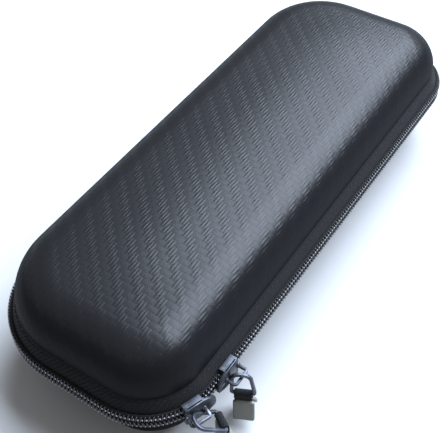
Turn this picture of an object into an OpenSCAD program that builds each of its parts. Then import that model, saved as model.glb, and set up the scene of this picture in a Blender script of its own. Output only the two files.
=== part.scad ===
// Zipped hard case that holds a set of interchangeable knitting needles.
// X runs along the case, the fabric spine is on +Y, the zip's long side is on -Y, and Z = 0 is the
// underside. "Inset" below is the distance inwards from the zip's outline.

/* [Case] */
// Length of the case over the zip
case_l = 220; // [210:1:270]
// Width of the case over the zip
case_w = 86; // [84:1:110]
// Height of each half, from the zip's middle line to its flat face
half_h = 24; // [23.5:0.5:30]
// Corner radius of the zip's outline on the front side
front_r = 25; // [24:0.5:30]
// Corner radius of the zip's outline on the spine side
hinge_r = 35; // [30:0.5:38]
// Inset of the moulded wall from the zip's outline
wall_inset = 4.2; // [4:0.1:5]
// Radius of the moulded edge between wall and flat face
edge_r = 15; // [10:0.5:15.5]
// Height of the zip band, from the zip's middle line to the moulded wall
band_h = 8; // [7.5:0.1:9]

/* [Laminate] */
// Thickness of the coated outer skin
skin_t = 0.8; // [0.5:0.1:1]
// Thickness of the moulded foam
foam_t = 3.2; // [2.4:0.1:3.4]
// Thickness of the knitted lining
lining_t = 0.6; // [0.3:0.1:0.8]

/* [Zip] */
// Thickness of the coil, across the band
coil_t = 2; // [1.6:0.1:2.4]
// Width of one half of the coil, along the band
coil_w = 2.8; // [2.4:0.1:3]
// Slot between the two halves of the coil
coil_slot = 0.8; // [0.6:0.1:1]
// Thickness of the woven tape
tape_t = 0.8; // [0.6:0.1:1]
// Clearance between each slider and what it runs on
running = 0.3; // [0.2:0.05:0.5]

/* [Sliders] */
// Length of a slider's flanges
slider_l = 7; // [6:0.5:8]
// Length of the nose in front of the flanges
nose_l = 4.5; // [3:0.5:5]
// Thickness of the outer plate
plate_t = 1.2; // [1:0.1:1.6]
// Height of the gap under the bridge
bridge_gap = 3; // [3:0.1:3.4]
// Thickness of the bridge's bar
bridge_t = 1; // [0.9:0.1:1.4]
// Place of slider A along the front, from the tangent of the near front corner
slider_a_from_corner = 9.6; // [9:0.1:20]
// Turn of slider B round the near front corner, from the front side
slider_b_turn = 20; // [18:1:40]

/* [Pulls] */
// Length of a pull ring
ring_l = 12; // [11:0.5:13]
// Width of a pull ring at the strap
ring_w = 9.4; // [9:0.2:11]
// Thickness of a pull ring
ring_t = 1.2; // [1.2:0.1:1.6]
// Width of the webbing strap
strap_w = 6; // [5:0.2:6.2]
// Length of the strap's folded loop
strap_l = 5.4; // [5:0.2:6]
// Length of the two rubber tails
tail_l = 7.6; // [6:0.2:8]

/* [Needles] */
// Length of each needle tip
tip_l = 130; // [110:1:140]
// Depth of the threaded socket in each tip
socket_l = 8; // [6:0.5:10]
// Gap between two needles in the elastic loops
needle_gap = 1.2; // [1.2:0.1:1.5]
// Thickness of the elastic
elastic_t = 0.8; // [0.6:0.1:0.9]
// Width of each elastic band
elastic_w = 16; // [10:1:20]
// Thickness of the stiff boards
board_t = 1.4; // [1:0.1:1.6]

/* [Pocket] */
// Diameter of the cables
cable_d = 1.8; // [1.4:0.1:1.8]
// Outer radius of the cables' coils
coil_r = 25; // [24:0.5:26]
// Thickness of the mesh
mesh_t = 0.6; // [0.4:0.1:0.8]
// Width of the needle gauge
gauge_w = 46; // [44:1:46]
// Length of the needle gauge
gauge_l = 70; // [66:1:72]

/* [Hidden] */
$fn = 64;

hair = 0.1;
laminate_t = skin_t + foam_t + lining_t;
inner_inset = wall_inset + laminate_t;
flat_inset = wall_inset + edge_r;
spine_l = case_l - 2 * hinge_r;
coil_low = coil_slot / 2;
coil_top = coil_low + coil_w;
tape_low = coil_low + coil_t / 2;
tape_bend = coil_top + 0.9;
flange_t = 0.8;
slider_h = coil_top + running + flange_t;
plate_y = -running;
inner_plate_y = coil_t + tape_t + running * 2;
binding_t = 0.8;
binding_reach = 0.9;
inner_r = edge_r - laminate_t;
slider_a_x = -case_l / 2 + front_r + slider_a_from_corner;

// ---- Round the case ---------------------------------------------------------------------------

// Each run takes a profile with x = inset and y = height over the zip's middle line.
module front_run(length)
    translate([-length / 2, -case_w / 2, 0])
        rotate([90, 0, 90])
            linear_extrude(length) children();

module back_run()
    mirror([0, 1, 0])
        front_run(spine_l) children();

module corner_run(radius, start)
    translate([-case_l / 2 + radius, (start == 180 ? -1 : 1) * (case_w / 2 - radius), 0])
        rotate([0, 0, start])
            rotate_extrude(angle = 90)
                translate([radius, 0])
                    mirror([1, 0])
                        children();

module end_run() {
    translate([-case_l / 2, case_w / 2 - hinge_r, 0])
        rotate([90, 0, 0])
            linear_extrude(case_w - hinge_r - front_r) children();
    corner_run(front_r, 180) children();
    corner_run(hinge_r, 90) children();
}

module zip_run() {
    front_run(case_l - 2 * front_r) children();
    end_run() children();
    mirror([1, 0, 0]) end_run() children();
}

module whole_run() {
    zip_run() children();
    back_run() children();
}

// The case's plan at an inset, with its own corner radii on the front and spine sides.
module plan(inset) {
    rf = front_r - inset;
    rh = hinge_r - inset;
    x = case_l / 2 - inset;
    y = case_w / 2 - inset;
    for (side = [-1, 1]) {
        translate([side * (x - rf), -y + rf]) circle(rf);
        translate([side * (x - rh), y - rh]) circle(rh);
    }
    translate([-x + rh, -y + rf]) square([2 * (x - rh), 2 * y - rf]);
    translate([-x + rf, -y]) square([2 * (x - rf), y]);
    translate([-x, -y + rf]) square([2 * x, 2 * y - rf - rh]);
}

module lid_side() translate([0, 0, half_h]) children();
module base_side() translate([0, 0, half_h]) mirror([0, 0, 1]) children();

// ---- Moulded halves ---------------------------------------------------------------------------

// Section inside a surface that lies a depth under the outer face.
module section(depth) {
    reach = flat_inset + 1;
    intersection() {
        union() {
            translate([flat_inset, half_h - edge_r]) circle(edge_r - depth);
            translate([wall_inset + depth, band_h]) square([reach - wall_inset - depth, half_h - edge_r - band_h]);
            translate([flat_inset, band_h]) square([reach - flat_inset, half_h - depth - band_h]);
        }
        translate([wall_inset, band_h]) square([reach - wall_inset, half_h]);
    }
}

module layer(depth, thickness) {
    whole_run() difference() {
        section(depth);
        section(depth + thickness);
    }
    translate([0, 0, half_h - depth - thickness])
        linear_extrude(thickness) plan(flat_inset);
}

module skin() layer(0, skin_t);
module foam() layer(skin_t, foam_t);
module lining() layer(skin_t + foam_t, lining_t);

module base_skin() color("#26272a") base_side() skin();
module base_shell() color("#3a3a3c") base_side() foam();
module base_lining() color("#4a4b50") base_side() lining();
module lid_skin() color("#3b3e43") lid_side() skin();
module lid_shell() color("#3a3a3c") lid_side() foam();
module lid_lining() color("#4a4b50") lid_side() lining();

// ---- Zip --------------------------------------------------------------------------------------

rim_inset = wall_inset + laminate_t - 0.4;
lip = 0.4;

// The slope from the band up to the sewn flange under the moulded rim, and back along its inner face.
slope = [
    [coil_t, tape_bend], [wall_inset + lip, band_h], [rim_inset, band_h], [rim_inset, band_h - 1],
    [wall_inset + lip + tape_t, band_h - 1], [coil_t + tape_t, tape_bend - 0.4]
];

module tape_profile()
    polygon(concat(slope, [[coil_t + tape_t, tape_low], [coil_t, tape_low]]));

// The band that joins both rims has the slope twice, the second one upside down.
module spine_profile()
    polygon(concat(slope, [for (i = [len(slope) - 1:-1:0]) [slope[i][0], -slope[i][1]]]));

module coil_profile() {
    r = coil_t / 2;
    translate([r, coil_low + r]) circle(r);
    translate([r, coil_top - r]) circle(r);
    translate([0, coil_low + r]) square([coil_t, coil_w - coil_t]);
}

module binding_profile() {
    translate([inner_inset, band_h - 1.6]) square([binding_t, 1.6 + binding_reach]);
    translate([rim_inset, band_h - 1]) square([inner_inset - rim_inset, 1]);
}

module base_zip_tape() color("#47484c") base_side() zip_run() tape_profile();
module base_coil() color("#18181a") base_side() zip_run() coil_profile();
module base_binding() color("#303135") base_side() whole_run() binding_profile();
module lid_zip_tape() color("#47484c") lid_side() zip_run() tape_profile();
module lid_binding() color("#303135") lid_side() whole_run() binding_profile();

// The lid's coil is left out where a slider's flanges hold it, so that the lid lifts out of them.
module lid_coil()
    color("#18181a")
        difference() {
            lid_side() zip_run() coil_profile();
            at_slider_a() flange_window();
            at_slider_b() flange_window();
        }

module flange_window()
    translate([-slider_l / 2 - 0.5, -1, 0])
        cube([slider_l + 1, coil_t + 2, coil_top + 1]);

module spine_band()
    color("#47484c")
        translate([0, 0, half_h])
            back_run() spine_profile();

module spine_lining()
    color("#4a4b50")
        translate([0, 0, half_h])
            back_run()
                translate([coil_t + tape_t, -tape_bend + 1]) square([0.5, 2 * tape_bend - 2]);

module zip_end_tabs()
    color("#303135")
        for (side = [-1, 1])
            translate([side * (spine_l / 2 - 3.4) - 3, case_w / 2 - coil_t, half_h - coil_top])
                cube([6, coil_t - 0.6, coil_w - 0.2]);

// ---- Sliders and pulls ------------------------------------------------------------------------

// A slider's frame: x along the coil, y inwards from the zip's outline, z up from its middle line.
module at_slider_a() translate([slider_a_x, -case_w / 2, half_h]) children();

module at_slider_b()
    translate([-case_l / 2 + front_r, -case_w / 2 + front_r, half_h])
        rotate([0, 0, -slider_b_turn])
            translate([0, -front_r, 0]) children();

post_x = 3.4;
bar_h = 1;
post_w = 1.1;
bar_y = plate_y - plate_t - bridge_gap - bridge_t / 2;

// A slider with its nose towards +x.
module slider() {
    web_t = coil_slot - 2 * 0.15;
    translate([0, plate_y, 0])
        rotate([90, 0, 0])
            linear_extrude(plate_t)
                polygon([
                    [-slider_l / 2, -slider_h], [slider_l / 2, -slider_h],
                    [slider_l / 2 + nose_l, -slider_h * 0.42], [slider_l / 2 + nose_l, slider_h * 0.42],
                    [slider_l / 2, slider_h], [-slider_l / 2, slider_h]
                ]);
    translate([-slider_l / 2, inner_plate_y, -coil_top])
        cube([slider_l + 1, 1, 2 * coil_top]);
    for (side = [-1, 1])
        translate([-slider_l / 2, plate_y - 0.1, side * (slider_h - flange_t / 2) - flange_t / 2])
            cube([slider_l, coil_t + 0.1 - running, flange_t]);
    translate([slider_l / 2 - 0.6, plate_y - 0.1, -web_t / 2])
        cube([1.6, inner_plate_y - plate_y + 0.2, web_t]);
    for (side = [-1, 1])
        translate([side * post_x - post_w / 2, bar_y - bridge_t / 2, -bar_h / 2])
            cube([post_w, bridge_gap + bridge_t + 0.1, bar_h]);
    translate([-post_x, bar_y - bridge_t / 2, -bar_h / 2])
        cube([2 * post_x, bridge_t, bar_h]);
}

module slider_a() color("#7d828a") at_slider_a() mirror([1, 0, 0]) slider();
module slider_b() color("#7d828a") at_slider_b() slider();

neck_r = 3.2;
eye_r = neck_r - ring_t;
heel_r = 1.8;

// How far a ring that leans over by an angle is lifted, so that its eye still clears the bar.
function lift(lean) = (bar_h / 2 + 0.3 + ring_t / 2 * sin(lean)) / cos(lean) - bar_h / 2 - eye_play;

// A pull's frame: its origin on the bridge's bar, its length along -z and its ring in the y-z plane.
// It swings outwards, leans towards the slider's +x end, turns off the case and rolls on its own length.
module at_pull(swing, lean, yaw, roll)
    translate([0, bar_y, 0])
        rotate([0, 0, -yaw])
            rotate([-swing, 0, 0])
                rotate([0, -lean, 0])
                    rotate([0, 0, roll])
                        translate([0, 0, max(0, lift(lean))])
                            children();

// Turned about the ring's heel.
module at_heel(turn)
    translate([0, 0, heel_z])
        rotate([0, turn, 0])
            translate([0, 0, -heel_z])
                children();

module ring_outline(inwards) {
    hull() {
        circle(neck_r - inwards, $fn = 32);
        for (side = [-1, 1])
            translate([side * (ring_w / 2 - heel_r), -(ring_l - neck_r - heel_r)])
                circle(heel_r - inwards, $fn = 32);
    }
}

eye_play = 0.6;
ring_drop = eye_r - bar_h / 2 - eye_play;
heel_z = -ring_drop - (ring_l - neck_r) + ring_t / 2;

module pull_ring()
    translate([ring_t / 2, 0, -ring_drop])
        rotate([90, 0, -90])
            linear_extrude(ring_t) difference() {
                ring_outline(0);
                ring_outline(ring_t);
            }

loop_wall = 1;
loop_play = 0.3;
loop_t = ring_t + 2 * (loop_wall + loop_play);
loop_z = heel_z + ring_t / 2 + loop_play + loop_wall;

// The webbing folded round the ring's heel.
module strap()
    difference() {
        translate([-loop_t / 2, -strap_w / 2, loop_z - strap_l])
            cube([loop_t, strap_w, strap_l]);
        translate([-ring_t / 2 - loop_play, -strap_w / 2 - 1, heel_z - ring_t / 2 - loop_play])
            cube([ring_t + 2 * loop_play, strap_w + 2, ring_t + 2 * loop_play]);
    }

tail_w = 7.4;
tail_t = 1.3;

// Two rubber tails, each turned outwards from the middle by its own angle.
module tails(splay)
    for (i = [0, 1])
        translate([(i == 0 ? -1 : 1) * (tail_t / 2 + 0.2), 0, loop_z - strap_l - 0.25])
            rotate([0, (i == 0 ? 1 : -1) * splay[i], 0])
                translate([-tail_t / 2, -tail_w / 2, -tail_l])
                    cube([tail_t, tail_w, tail_l]);

module pull_a() at_slider_a() at_pull(4, 0, 0, 24) children();
module pull_b() at_slider_b() at_pull(0, 55, 14, 5) children();

module ring_a() color("#9ba1aa") pull_a() pull_ring();
module strap_a() color("#34353a") pull_a() strap();
module tails_a() color("#6b6b64") pull_a() tails([14, 20]);
module ring_b() color("#9ba1aa") pull_b() pull_ring();
module strap_b() color("#34353a") pull_b() at_heel(50) strap();
module tails_b() color("#6b6b64") pull_b() at_heel(50) tails([2, 6]);

// ---- Needle tips and their boards -------------------------------------------------------------

big_sizes = [10, 8, 6.5];
top_sizes = [6, 5.5, 5, 4.5];
under_sizes = [2.75, 3, 3.25, 3.5, 3.75, 4];

// Both tips of each size, side by side.
function pairs(sizes) = [for (d = sizes, copy = [0, 1]) d];
function sum(list, n) = n == 0 ? 0 : list[n - 1] + sum(list, n - 1);
function row_w(list) = sum(list, len(list)) + needle_gap * (len(list) - 1);
function place(list, i) = -row_w(list) / 2 + sum(list, i) + needle_gap * i + list[i] / 2;

tips_x = -tip_l / 2 - 11;
board_lift = 1.2;
board_z = laminate_t + board_lift;
board_floor = board_z + board_t;
page_top = half_h;
page_low = page_top - board_t;
page_inset = inner_inset + 1.4;
page_back = case_w / 2 - page_inset;
pivot_y = page_back + 0.3;

// A tip lies along x with its socket at x = 0.
module tip(d) {
    r = d / 2;
    point_r = 0.5;
    taper_l = 8 + d;
    bore_r = min(1.3, r - 0.5);
    rotate([0, 90, 0])
        difference() {
            rotate_extrude() polygon([
                [0, 0], [r - 0.2, 0], [r, 0.4], [r, 9], [r - 0.15, 9.2], [r - 0.15, 10.2], [r, 10.4],
                [r, tip_l - taper_l], [point_r, tip_l - point_r], [0, tip_l]
            ]);
            translate([0, 0, -1]) cylinder(h = socket_l + 1, r = bore_r);
        }
}

// Both tips of one size, in their row, standing on (up = 1) or hanging from (up = -1) a face.
module tips(sizes, d, face_z, up)
    for (copy = [0, 1]) {
        row = pairs(sizes);
        i = search(d, sizes)[0] * 2 + copy;
        translate([tips_x, place(row, i), face_z + up * d / 2]) tip(d);
    }

module loops_profile(row)
    difference() {
        for (i = [0:len(row) - 1])
            translate([place(row, i), 0]) loop_profile(row[i] / 2 + elastic_t, row[i] / 2);
        for (i = [0:len(row) - 1])
            translate([place(row, i), 0]) loop_profile(row[i] / 2 + hair / 2, row[i] / 2);
    }

module loop_profile(r, centre) {
    translate([0, centre]) circle(r);
    translate([-r, 0]) square([2 * r, centre]);
}

module elastics(row, face_z, up)
    translate([0, 0, face_z])
        mirror([0, 0, up > 0 ? 0 : 1])
            for (x = [tips_x + 24, tips_x + 84])
                translate([x, 0, 0])
                    rotate([90, 0, 90])
                        linear_extrude(elastic_w)
                            intersection() {
                                loops_profile(row);
                                translate([-case_w / 2, 0]) square([case_w, 20]);
                            }

// Inset at which the lining's moulded edge lies a height over the lining's floor.
function edge_inset(height) =
    inner_inset + inner_r - sqrt(inner_r * inner_r - (inner_r - height) * (inner_r - height));

// A false floor, wedged a little way up the moulded edge.
module needle_board()
    color("#4a4b50")
        translate([0, 0, board_z])
            linear_extrude(board_t) plan(edge_inset(board_lift) + 0.2);

module board_elastics() color("#222326") elastics(pairs(big_sizes), board_floor, 1);

module page_board()
    color("#4a4b50")
        translate([0, 0, page_low])
            linear_extrude(board_t) plan(page_inset);

module page_strip()
    color("#303135")
        translate([-spine_l / 2 + 5, pivot_y, (page_low + page_top) / 2 - 0.3])
            cube([spine_l - 10, case_w / 2 - coil_t - tape_t - 0.5 - pivot_y, 0.6]);

module page_elastics_top() color("#222326") elastics(pairs(top_sizes), page_top, 1);
module page_elastics_under() color("#222326") elastics(pairs(under_sizes), page_low, -1);

module tips_under(d) tips(under_sizes, d, page_low, -1);
module tips_top(d) tips(top_sizes, d, page_top, 1);
module tips_big(d) tips(big_sizes, d, board_floor, 1);

module tips_2_75() color("#c9ccd1") tips_under(2.75);
module tips_3_00() color("#d9a441") tips_under(3);
module tips_3_25() color("#c2543f") tips_under(3.25);
module tips_3_50() color("#6a9a4f") tips_under(3.5);
module tips_3_75() color("#3f7fb5") tips_under(3.75);
module tips_4_00() color("#7f5aa8") tips_under(4);
module tips_4_50() color("#c85f8c") tips_top(4.5);
module tips_5_00() color("#d98a3d") tips_top(5);
module tips_5_50() color("#3f9a93") tips_top(5.5);
module tips_6_00() color("#3f63b5") tips_top(6);
module tips_6_50() color("#a8433f") tips_big(6.5);
module tips_8_00() color("#5f8f3f") tips_big(8);
module tips_10_00() color("#8a6fb8") tips_big(10);

// ---- Pocket in the lid and what it holds ------------------------------------------------------

mesh_z = half_h + band_h + binding_reach;
pocket_front = -26;
pocket_floor = mesh_z + mesh_t + hair;
nest_x = -62;
nest_y = 1.5;
ferrule_r = 1.3;
ferrule_l = 7;
stud_r = 1;
stud_l = 4;
level_step = 2 * ferrule_r + hair;
turn_step = cable_d + 0.1;

module mesh_pocket()
    color("#2b2c30")
        translate([0, 0, mesh_z])
            linear_extrude(mesh_t)
                intersection() {
                    plan(inner_inset + hair);
                    translate([-case_l / 2, pocket_front]) square([case_l, case_w]);
                }

module pocket_elastic()
    color("#222326")
        translate([0, 0, mesh_z - 0.2])
            linear_extrude(mesh_t + 0.4)
                intersection() {
                    plan(inner_inset + binding_t + hair);
                    translate([-case_l / 2, pocket_front - 1.6]) square([case_l, 1.6]);
                }

// A cable lies in a flat spiral. Its inner radius follows from its length. Its ends turn off the spiral.
function core_r(length) = sqrt(coil_r * coil_r - length * turn_step / PI);
function turns(length) = (coil_r - core_r(length)) / turn_step;
steps_a_turn = 16;
hook = 4.5;
hook_share = 70;
flare = 2;
flare_share = 45;
function spiral_r(length, angle) =
    coil_r - turn_step * angle / 360
    + flare * pow(max(0, (flare_share - angle) / flare_share), 2)
    - hook * pow(max(0, (angle - 360 * turns(length) + hook_share) / hook_share), 2);
function spiral_point(length, angle, start) =
    let (r = spiral_r(length, angle)) [r * cos(start - angle), r * sin(start - angle), 0];
function last_step(length) = ceil(turns(length) * steps_a_turn);
function step_angle(length, i) = 360 * turns(length) * i / last_step(length);
function way(length, angle, start) =
    let (d = spiral_point(length, angle + 1, start) - spiral_point(length, angle - 1, start)) d / norm(d);
function ring_points(length, i, start) =
    let (a = step_angle(length, i), p = spiral_point(length, a, start), w = way(length, a, start))
    [for (k = [0:5]) p + cable_d / 2 * (sin(60 * k) * [w[1], -w[0], 0] + cos(60 * k) * [0, 0, 1])];

module cable(length, start, level) {
    n = last_step(length);
    points = [for (i = [0:n]) each ring_points(length, i, start)];
    sides = [for (i = [0:n - 1], k = [0:5])
        [6 * i + k, 6 * i + (k + 1) % 6, 6 * i + 6 + (k + 1) % 6, 6 * i + 6 + k]];
    at_level(level)
        polyhedron(points, concat([[5, 4, 3, 2, 1, 0]], sides, [[for (k = [0:5]) 6 * n + k]]));
}

module at_level(level)
    translate([nest_x, nest_y, pocket_floor + ferrule_r + level * level_step]) children();

// Ferrule and screw at both ends of a cable.
module ferrules(length, start, level)
    at_level(level)
        for (end = [0, 1]) {
            angle = end * 360 * turns(length);
            point = spiral_point(length, angle, start);
            w = (end == 0 ? -1 : 1) * way(length, angle, start);
            translate(point)
                rotate([0, 0, atan2(w[1], w[0])])
                    rotate([0, 90, 0]) {
                        cylinder(h = ferrule_l, r = ferrule_r);
                        cylinder(h = ferrule_l + stud_l, r = stud_r);
                    }
        }

cables = [[350, 150], [560, 30], [760, 90]];

module cable_short() color("#b9c0c8") cable(cables[0][0], cables[0][1], 2);
module cable_medium() color("#9fb4c8") cable(cables[1][0], cables[1][1], 1);
module cable_long() color("#b0b7a0") cable(cables[2][0], cables[2][1], 0);

module cable_ferrules()
    color("#c9ccd1")
        for (i = [0:2])
            ferrules(cables[i][0], cables[i][1], 2 - i);

gauge_x = 16;
gauge_y = -18;
gauge_t = 2;
gauge_rows = [[10, 8, 6.5, 6, 5.5], [5, 4.5, 4, 3.75, 3.5, 3.25, 3, 2.75]];
gauge_gaps = [4, 3.4];

// Flat gauge with one hole for each needle size.
module needle_gauge()
    color("#8f9399")
        translate([gauge_x, gauge_y, pocket_floor])
            difference() {
                cube([gauge_l, gauge_w, gauge_t]);
                for (j = [0, 1], i = [0:len(gauge_rows[j]) - 1])
                    translate([
                        6 + sum(gauge_rows[j], i) + gauge_gaps[j] * i + gauge_rows[j][i] / 2,
                        gauge_w * (j == 0 ? 0.7 : 0.28), -1
                    ])
                        cylinder(h = gauge_t + 2, d = gauge_rows[j][i] + 0.1);
            }

module end_stoppers()
    color("#3f63b5")
        for (i = [0, 1], j = [0, 1])
            translate([-27 + 10 * i, -13 + 10 * j, pocket_floor])
                difference() {
                    union() {
                        cylinder(h = 1.6, r = 3.8);
                        cylinder(h = 6, r = 2.2);
                    }
                    translate([0, 0, 2]) cylinder(h = 5, r = stud_r + 0.05);
                }

module cable_connectors()
    color("#c9ccd1")
        for (i = [0, 1])
            translate([-31, 7 + 5 * i, pocket_floor + 1.6])
                rotate([0, 90, 0])
                    difference() {
                        cylinder(h = 16, r = 1.6);
                        translate([0, 0, -1]) cylinder(h = 6, r = stud_r + 0.05);
                        translate([0, 0, 11]) cylinder(h = 6, r = stud_r + 0.05);
                    }

module tightening_keys()
    color("#a9adb3")
        for (i = [0, 1])
            translate([-10, 4 + 9 * i, pocket_floor + 0.8]) {
                rotate([0, 90, 0]) cylinder(h = 22, r = 0.7);
                translate([0, -3.5, 0]) rotate([-90, 0, 0]) cylinder(h = 7, r = 0.8);
            }

module stitch_markers()
    color("#c85f8c")
        for (i = [0, 1], j = [0, 1])
            translate([-5 + 12 * i, -13.5 + 11 * j, pocket_floor + 0.7 ])
                rotate_extrude() translate([4, 0]) circle(0.7);

module darning_needles()
    color("#c9ccd1")
        for (i = [0, 1])
            translate([-32, 22 + 3 * i, pocket_floor + 0.9])
                rotate([0, 90, 0]) {
                    cylinder(h = 34, r = 0.9);
                    translate([0, 0, 34]) cylinder(h = 10, r1 = 0.9, r2 = 0.3);
                }

base_skin();
base_shell();
base_lining();
base_zip_tape();
base_coil();
base_binding();
lid_skin();
lid_shell();
lid_lining();
lid_zip_tape();
lid_coil();
lid_binding();
spine_band();
spine_lining();
zip_end_tabs();
slider_a();
ring_a();
strap_a();
tails_a();
slider_b();
ring_b();
strap_b();
tails_b();
needle_board();
board_elastics();
page_strip();
page_board();
page_elastics_top();
page_elastics_under();
tips_2_75();
tips_3_00();
tips_3_25();
tips_3_50();
tips_3_75();
tips_4_00();
tips_4_50();
tips_5_00();
tips_5_50();
tips_6_00();
tips_6_50();
tips_8_00();
tips_10_00();
mesh_pocket();
pocket_elastic();
cable_short();
cable_medium();
cable_long();
cable_ferrules();
needle_gauge();
end_stoppers();
cable_connectors();
tightening_keys();
stitch_markers();
darning_needles();
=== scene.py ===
"""A zipped hard case that holds interchangeable knitting needles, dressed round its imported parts."""

import logging
import math
from dataclasses import dataclass, field
from enum import Enum
from typing import Callable, Iterable, Mapping, Sequence

import bmesh
import bpy
from mathutils import Matrix, Vector, noise


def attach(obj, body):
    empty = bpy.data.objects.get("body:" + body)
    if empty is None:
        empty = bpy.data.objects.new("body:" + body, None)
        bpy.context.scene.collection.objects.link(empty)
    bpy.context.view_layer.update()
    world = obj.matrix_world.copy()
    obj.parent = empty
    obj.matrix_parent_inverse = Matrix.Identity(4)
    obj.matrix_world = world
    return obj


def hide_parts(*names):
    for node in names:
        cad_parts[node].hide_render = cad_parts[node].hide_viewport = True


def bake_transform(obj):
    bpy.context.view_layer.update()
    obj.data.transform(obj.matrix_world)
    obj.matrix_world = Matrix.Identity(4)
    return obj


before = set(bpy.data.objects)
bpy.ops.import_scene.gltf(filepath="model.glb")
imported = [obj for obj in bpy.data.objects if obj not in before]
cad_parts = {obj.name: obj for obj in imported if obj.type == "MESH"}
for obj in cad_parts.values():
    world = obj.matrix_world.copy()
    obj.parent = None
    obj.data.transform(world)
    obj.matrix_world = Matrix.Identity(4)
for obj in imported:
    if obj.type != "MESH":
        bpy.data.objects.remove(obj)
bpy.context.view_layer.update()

MM = 0.001
log = logging.getLogger("needle_case")
Colour = tuple[float, float, float]
Point2 = tuple[float, float]


# ---- Shader building ---------------------------------------------------------------------------


class Value:
    """A number that a shader works out, with Python's operators adding its Math nodes."""

    def __init__(self, shader: "Shader", socket: bpy.types.NodeSocket) -> None:
        """Wraps one output socket of a shader's tree."""
        self.shader = shader
        self.socket = socket

    def maths(self, operation: str, *others: "Value | float", clamp: bool = False) -> "Value":
        """Adds one Math node.

        Args:
            operation: the Math node's operation.
            others: its second and third inputs.
            clamp: whether the result stays between 0 and 1.

        Returns:
            The node's result.
        """
        sockets = dict(enumerate((self, *others)))
        return self.shader.add("ShaderNodeMath", {"operation": operation, "use_clamp": clamp}, sockets)

    def flipped(self, operation: str, first: "Value | float") -> "Value":
        """Adds a Math node whose first input is the other value."""
        settings = {"operation": operation}
        return self.shader.add("ShaderNodeMath", settings, {0: first, 1: self})

    def __add__(self, other: "Value | float") -> "Value":
        """Sum."""
        return self.maths("ADD", other)

    __radd__ = __add__

    def __sub__(self, other: "Value | float") -> "Value":
        """Difference."""
        return self.maths("SUBTRACT", other)

    def __rsub__(self, other: float) -> "Value":
        """Difference from a number."""
        return self.flipped("SUBTRACT", other)

    def __mul__(self, other: "Value | float") -> "Value":
        """Product."""
        return self.maths("MULTIPLY", other)

    __rmul__ = __mul__

    def __truediv__(self, other: "Value | float") -> "Value":
        """Quotient."""
        return self.maths("DIVIDE", other)

    def __pow__(self, other: float) -> "Value":
        """Power."""
        return self.maths("POWER", other)

    def __lt__(self, other: "Value | float") -> "Value":
        """1 where this is less."""
        return self.maths("LESS_THAN", other)

    def __gt__(self, other: "Value | float") -> "Value":
        """1 where this is greater."""
        return self.maths("GREATER_THAN", other)

    def floor(self) -> "Value":
        """Whole part."""
        return self.maths("FLOOR")

    def part(self) -> "Value":
        """Fractional part."""
        return self.maths("FRACT")

    def wrap(self, length: float) -> "Value":
        """Remainder from 0 up to a length, also for negative numbers."""
        return self.maths("FLOORED_MODULO", length)

    def size(self) -> "Value":
        """Absolute value."""
        return self.maths("ABSOLUTE")

    def sine(self) -> "Value":
        """Sine, in radians."""
        return self.maths("SINE")

    def clip(self) -> "Value":
        """This, held between 0 and 1."""
        return self.maths("ADD", 0.0, clamp=True)


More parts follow.
